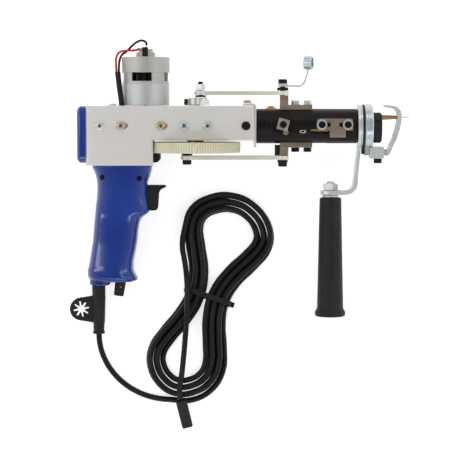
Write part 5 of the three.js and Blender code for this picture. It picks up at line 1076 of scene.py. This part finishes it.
def dress_foot():
    curve = [Vector((*point, 0)) for point in FOOT_WAY]
    smooth = []
    for i, (one, two) in enumerate(zip(curve, curve[1:])):
        before, after = curve[max(i - 1, 0)], curve[min(i + 2, len(curve) - 1)]
        span = (two - one).length
        ahead = (two - before).normalized() * span / 3
        back = (after - one).normalized() * span / 3
        smooth += interpolate_bezier(one, one + ahead, two - back, two, 7)[:-1]
    smooth.append(curve[-1])
    outer, inner = [], []
    for i, point in enumerate(smooth):
        way = (smooth[min(i + 1, len(smooth) - 1)] - smooth[max(i - 1, 0)]).normalized()
        tapering = max(0, (i / (len(smooth) - 1) - 0.62) / 0.38)
        half = 2.1 - 1.15 * tapering
        outer.append((point.x + way.y * half, point.y - way.x * half))
        inner.append((point.x - way.y * half, point.y + way.x * half))

    # The first prong, then the web and the second prong, extruded from it; the web goes above the crotch
    prong, slit, crotch = 3.8, 3.2, -10
    form = cast(outer + inner[::-1], prong, Matrix.Translation((0, 0, -slit - prong)))
    near = [face for face in form.faces if same(face.calc_center_median().z, -slit)]
    for depth in (2 * slit, prong):
        made = bmesh.ops.extrude_face_region(form, geom=near)["geom"]
        bmesh.ops.translate(form, vec=(0, 0, depth), verts=only(BMVert, made))
        bmesh.ops.delete(form, geom=near, context="FACES_ONLY")
        near = only(BMFace, made)
    sliced(form, (0, crotch, 0), (0, 1, 0), dist=CLOSE)
    middles = [(face, face.calc_center_median()) for face in form.faces]
    gone = [face for face, middle in middles if middle.y > crotch and abs(middle.z) < slit - 0.2]
    bmesh.ops.delete(form, geom=gone, context="FACES")
    ends = [v for v in form.verts if same(v.co.y, crotch) and same(abs(v.co.z), slit)]
    for z in (-slit, slit):
        across = form.edges.new([v for v in ends if same(v.co.z, z)])
        loop = open_edges(form, lambda corner: same(corner.z, z))
        bmesh.ops.edgeloop_fill(form, edges=loop + [across])
    bmesh.ops.edgeloop_fill(form, edges=open_edges(form, lambda corner: same(corner.y, crotch)))
    bmesh.ops.recalc_face_normals(form, faces=form.faces)
    shank = block((172.8, -28.2, -4), (183, -24, 4))
    both = joined((form, 0), (shank, 0))
    piece = keep("presser_foot_forged", both, ZINC, body="presser_foot", covers="presser_foot", smooth=40)
    rounded(piece, 0.55, 50, 3)


# Front handle: ring, bent bar and pad of one strip, its bolt with nut and washer, and the moulded grip
def dress_handle():
    stand, swung = upright(HANDLE), {"body": "front_handle", "place": SWUNG}
    ring = hoop(NECK, 21, 154.7, 157.6, ALONG, 0.5, 120)
    bend = [arc(143.6, -54.3, radius, start, end, 12) for radius, start, end in ((7, 0, -90), (11.2, -90, 0))]
    points = [(157.6, -16), (154.7, -16), (154.2, -24), *bend[0], (HANDLE, -61.3), (HANDLE, -65.5), *bend[1]]
    bar = cast(points + [(157.4, -24)], 20, Matrix.Translation((0, 0, -10)))
    pad = hoop(4.3, 10, -65.5, -61.3, stand, 0.6, 72)
    strip = joined((ring, 0), (bar, 0), (pad, 0))
    piece = keep("handle_strip", strip, ZINC, **swung, covers="handle_bracket", smooth=40)
    rounded(piece, 0.6, 50, 3)
    nut = hexagonal(13, 6, pointing((HANDLE, -61, 0), (0, 1, 0), 8))
    end = stud(4, -61.2, -54.2, stand, 1.25, 6)
    dome = spun([(3.9, -54.6), (3.9, -54), (3.5, -53.2), (2.4, -52.5), (0, -52.3)], stand, 32)
    washer = hoop(4, 8, -68.1, -65.8, stand, 0.5)
    bolt = joined((nut, 0), (end, 0), (dome, 0), (washer, 0))
    keep("handle_bolt_set", bolt, ZINC, **swung, covers="handle_bolt")
    rows = [(4.3, -68.4), (9.3, -68.4), (10.1, -68.8), (10.45, -69.8), (11.5, -122), (12.5, -172)]
    rows += [(12.7, -174.4), (13.3, -176), (14.4, -177.2), (14.7, -178.2), (14.7, -180.6), (14.3, -181.8)]
    rows += [(13.1, -182.4), (0, -182.4)]
    grip = spun(rows, stand, 96)
    keep("handle_grip_moulded", grip, RUBBER, **swung, covers="handle_grip", smooth=50)


# Butt: ribbed speed knob with its mark, tapered cord guard, and the key holder's strap with a star cut in it
def dress_butt():
    axis = pointing((-72, -149.21, 0), (-0.139, -0.99, 0))
    rows = [(0, 0), (4.9, 0), (5.15, 0.5), (5.1, 2), (4.8, 11.5), (4.7, 13), (4.4, 13.6), (0, 13.6)]
    knob = spun(rows, axis, 56, (0.9, 12.9, 0.35))
    rows = [(0, 4.6), (0.8, 4.6), (0.8, 5.02), (0.6, 5.1), (0, 5.1)]
    mark = spun(rows, pointing((-72.65, -154, 0), (0.24, 0, 1)), 20)
    both = joined((knob, 0), (mark, 1))
    keep("speed_knob_ribbed", both, BLACK_PLASTIC, BRASS, body="speed_knob", covers="speed_knob")
    down = upright(GUARD, -1)
    rows = [(0, 152.8), (6.1, 152.8), (6.4, 153.3), (6.35, 162), (5.75, 180), (5.15, 196.2), (5.25, 196.9)]
    rows += [(5.8, 197.4), (5.8, 199), (5.3, 199.4), (2.9, 199.5), (2.75, 199.3), (2.75, 198.5), (0, 198.5)]
    keep("cord_guard_sleeve", spun(rows, down), RUBBER, covers="cord_guard")
    rows = [(4.9, 162.6), (6.4, 162.6), (6.55, 163), (5.85, 188.3), (5.6, 188.7), (4.9, 188.7), (4.9, 162.6)]
    grasp = spun(rows, down)
    x, y = -109.8, -175.65
    points = [(-98, -162.6), *arc(x, y, 11, 100, 260, 40), (-98, -188.7)]
    star = []
    for i in range(32):
        angle = math.tau * (i + 0.5) / 32
        radius = 7.6 if i % 4 < 2 else 3.4
        star.append((x + radius * math.cos(angle), y + radius * math.sin(angle)))
    tongue = cast(points, 3, Matrix.Translation((0, 0, -1.5)), [star])
    strap = joined((grasp, 0), (tongue, 0))
    piece = keep("key_strap", strap, RUBBER, covers="key_holder", smooth=40)
    rounded(piece, 0.25, 50)


# Tie round the waist of the hank, and the plug at the cord's end
def dress_cord_ends():
    lean = Matrix.Rotation(-math.radians(HANK["lean"]), 4, "Z")
    seat = Matrix.Translation((HANK["x"], HANK["y"], 0)) @ lean
    seat = seat @ Matrix.Rotation(math.radians(90), 4, "X") @ Matrix.Translation((1.6825, 8.615, -2.5))

    def loop(width, height, corner):
        points = []
        for x, y, start in ((1, 1, 0), (-1, 1, 90), (-1, -1, 180), (1, -1, 270)):
            points += arc(x * (width / 2 - corner), y * (height / 2 - corner), corner, start, start + 90, 8)
        return points

    width, height, corner, thickness = 47.57, 16.43, 2.75, 1.2
    inner = loop(width - 2 * thickness, height - 2 * thickness, corner - thickness)
    band = cast(loop(width, height, corner), 5, seat, [inner])
    head = block((22.585, -2.25, 0), (27.085, 2.25, 5))
    bmesh.ops.transform(head, matrix=seat, verts=head.verts)
    both = joined((band, 0), (head, 0))
    tie = keep("tie_band", both, BLACK_PLASTIC, place=BENCH, covers="cord_tie")
    rounded(tie, 0.3, 50)
    form = taken("cord_plug")
    plug = keep("cord_plug_moulded", form, BLACK_PLASTIC, covers="cord_plug", smooth=16)
    rounded(plug, 0.5, 24)


dress_housing()
dress_motor()
dress_barrel()
dress_grip()
dress_trigger()
dress_leads()
dress_rods()
dress_plate()
dress_barrel_fittings()
dress_brackets()
dress_front()
dress_foot()
dress_handle()
dress_butt()
dress_cord_ends()


# Moulded covers and the cut gear, in the solids' own shape with their edges broken
for node, body, material, width in (
    ("rear_cap", "machine", BLUE, 0.35),
    ("gear_guard", "machine", BLACK_PLASTIC, 0.4),
    ("drive_gear", "drive_shaft", NYLON, 0.12),
):
    rounded(keep(node + "_finished", taken(node), material, body=body, covers=node, smooth=16), width, 24)


# Studio: a pale floor that keeps the shadows, a white tent that is dimmer overhead, a strip lamp at each side
def studio():
    floor = bmesh.new()
    bmesh.ops.create_grid(floor, x_segments=1, y_segments=1, size=2)
    mesh = bpy.data.meshes.new("floor")
    floor.to_mesh(mesh)
    floor.free()
    # Matt white paper, which glows a little to the camera and in reflections, so that it stays white
    white = bpy.data.materials.new("white_paper_floor")
    white.use_nodes = True
    paper = white.node_tree.nodes["Principled BSDF"]
    paper.inputs["Base Color"].default_value = linear("#EFEFEF")
    paper.inputs["Roughness"].default_value = 0.9
    paper.inputs["Specular IOR Level"].default_value = 0.1
    path = add(white, "ShaderNodeLightPath").outputs
    rays = {0: path["Is Camera Ray"], 1: path["Is Glossy Ray"]}
    seen = add(white, "ShaderNodeMath", rays, operation="MAXIMUM").outputs[0]
    glow = add(white, "ShaderNodeMath", {0: seen, 1: 0.6}, operation="MULTIPLY").outputs[0]
    white.node_tree.links.new(glow, paper.inputs["Emission Strength"])
    paper.inputs["Emission Color"].default_value = (1, 1, 1, 1)
    mesh.materials.append(white)
    ground = bpy.data.objects.new("floor", mesh)
    bpy.context.scene.collection.objects.link(ground)

    world = bpy.data.worlds.new("studio")
    bpy.context.scene.world = world
    world.use_nodes = True
    way = add(world, "ShaderNodeTexCoord").outputs["Generated"]
    height = add(world, "ShaderNodeSeparateXYZ", {0: way}).outputs["Z"]
    fall = {"Value": height, "From Min": 0, "From Max": 0.95, "To Min": 0.95, "To Max": 0.22}
    tent = add(world, "ShaderNodeMapRange", fall).outputs[0]
    seen = add(world, "ShaderNodeLightPath").outputs["Is Camera Ray"]
    shown = add(world, "ShaderNodeMath", {0: tent, 1: seen}, operation="MAXIMUM").outputs[0]
    backdrop = world.node_tree.nodes["Background"].inputs
    world.node_tree.links.new(shown, backdrop["Strength"])
    backdrop["Color"].default_value = (1, 1, 1, 1)

    for name, size, place, power in (
        ("near_strip", (1.3, 0.14), (0, -0.78, 0.85), 2.6),
        ("far_strip", (1.3, 0.14), (0, 0.78, 0.85), 2.2),
        ("left_strip", (0.14, 1.1), (-0.8, 0, 0.85), 2.4),
        ("right_strip", (0.14, 1.1), (0.8, 0, 0.85), 1.8),
    ):
        light = bpy.data.lights.new(name, "AREA")
        light.shape = "RECTANGLE"
        light.size, light.size_y = size
        light.energy = power
        lamp = bpy.data.objects.new(name, light)
        bpy.context.scene.collection.objects.link(lamp)
        lamp.matrix_world = pointing(place, Vector(place) - Vector((0, 0, 0.03)))
    bpy.context.scene.view_settings.view_transform = "Standard"


studio()
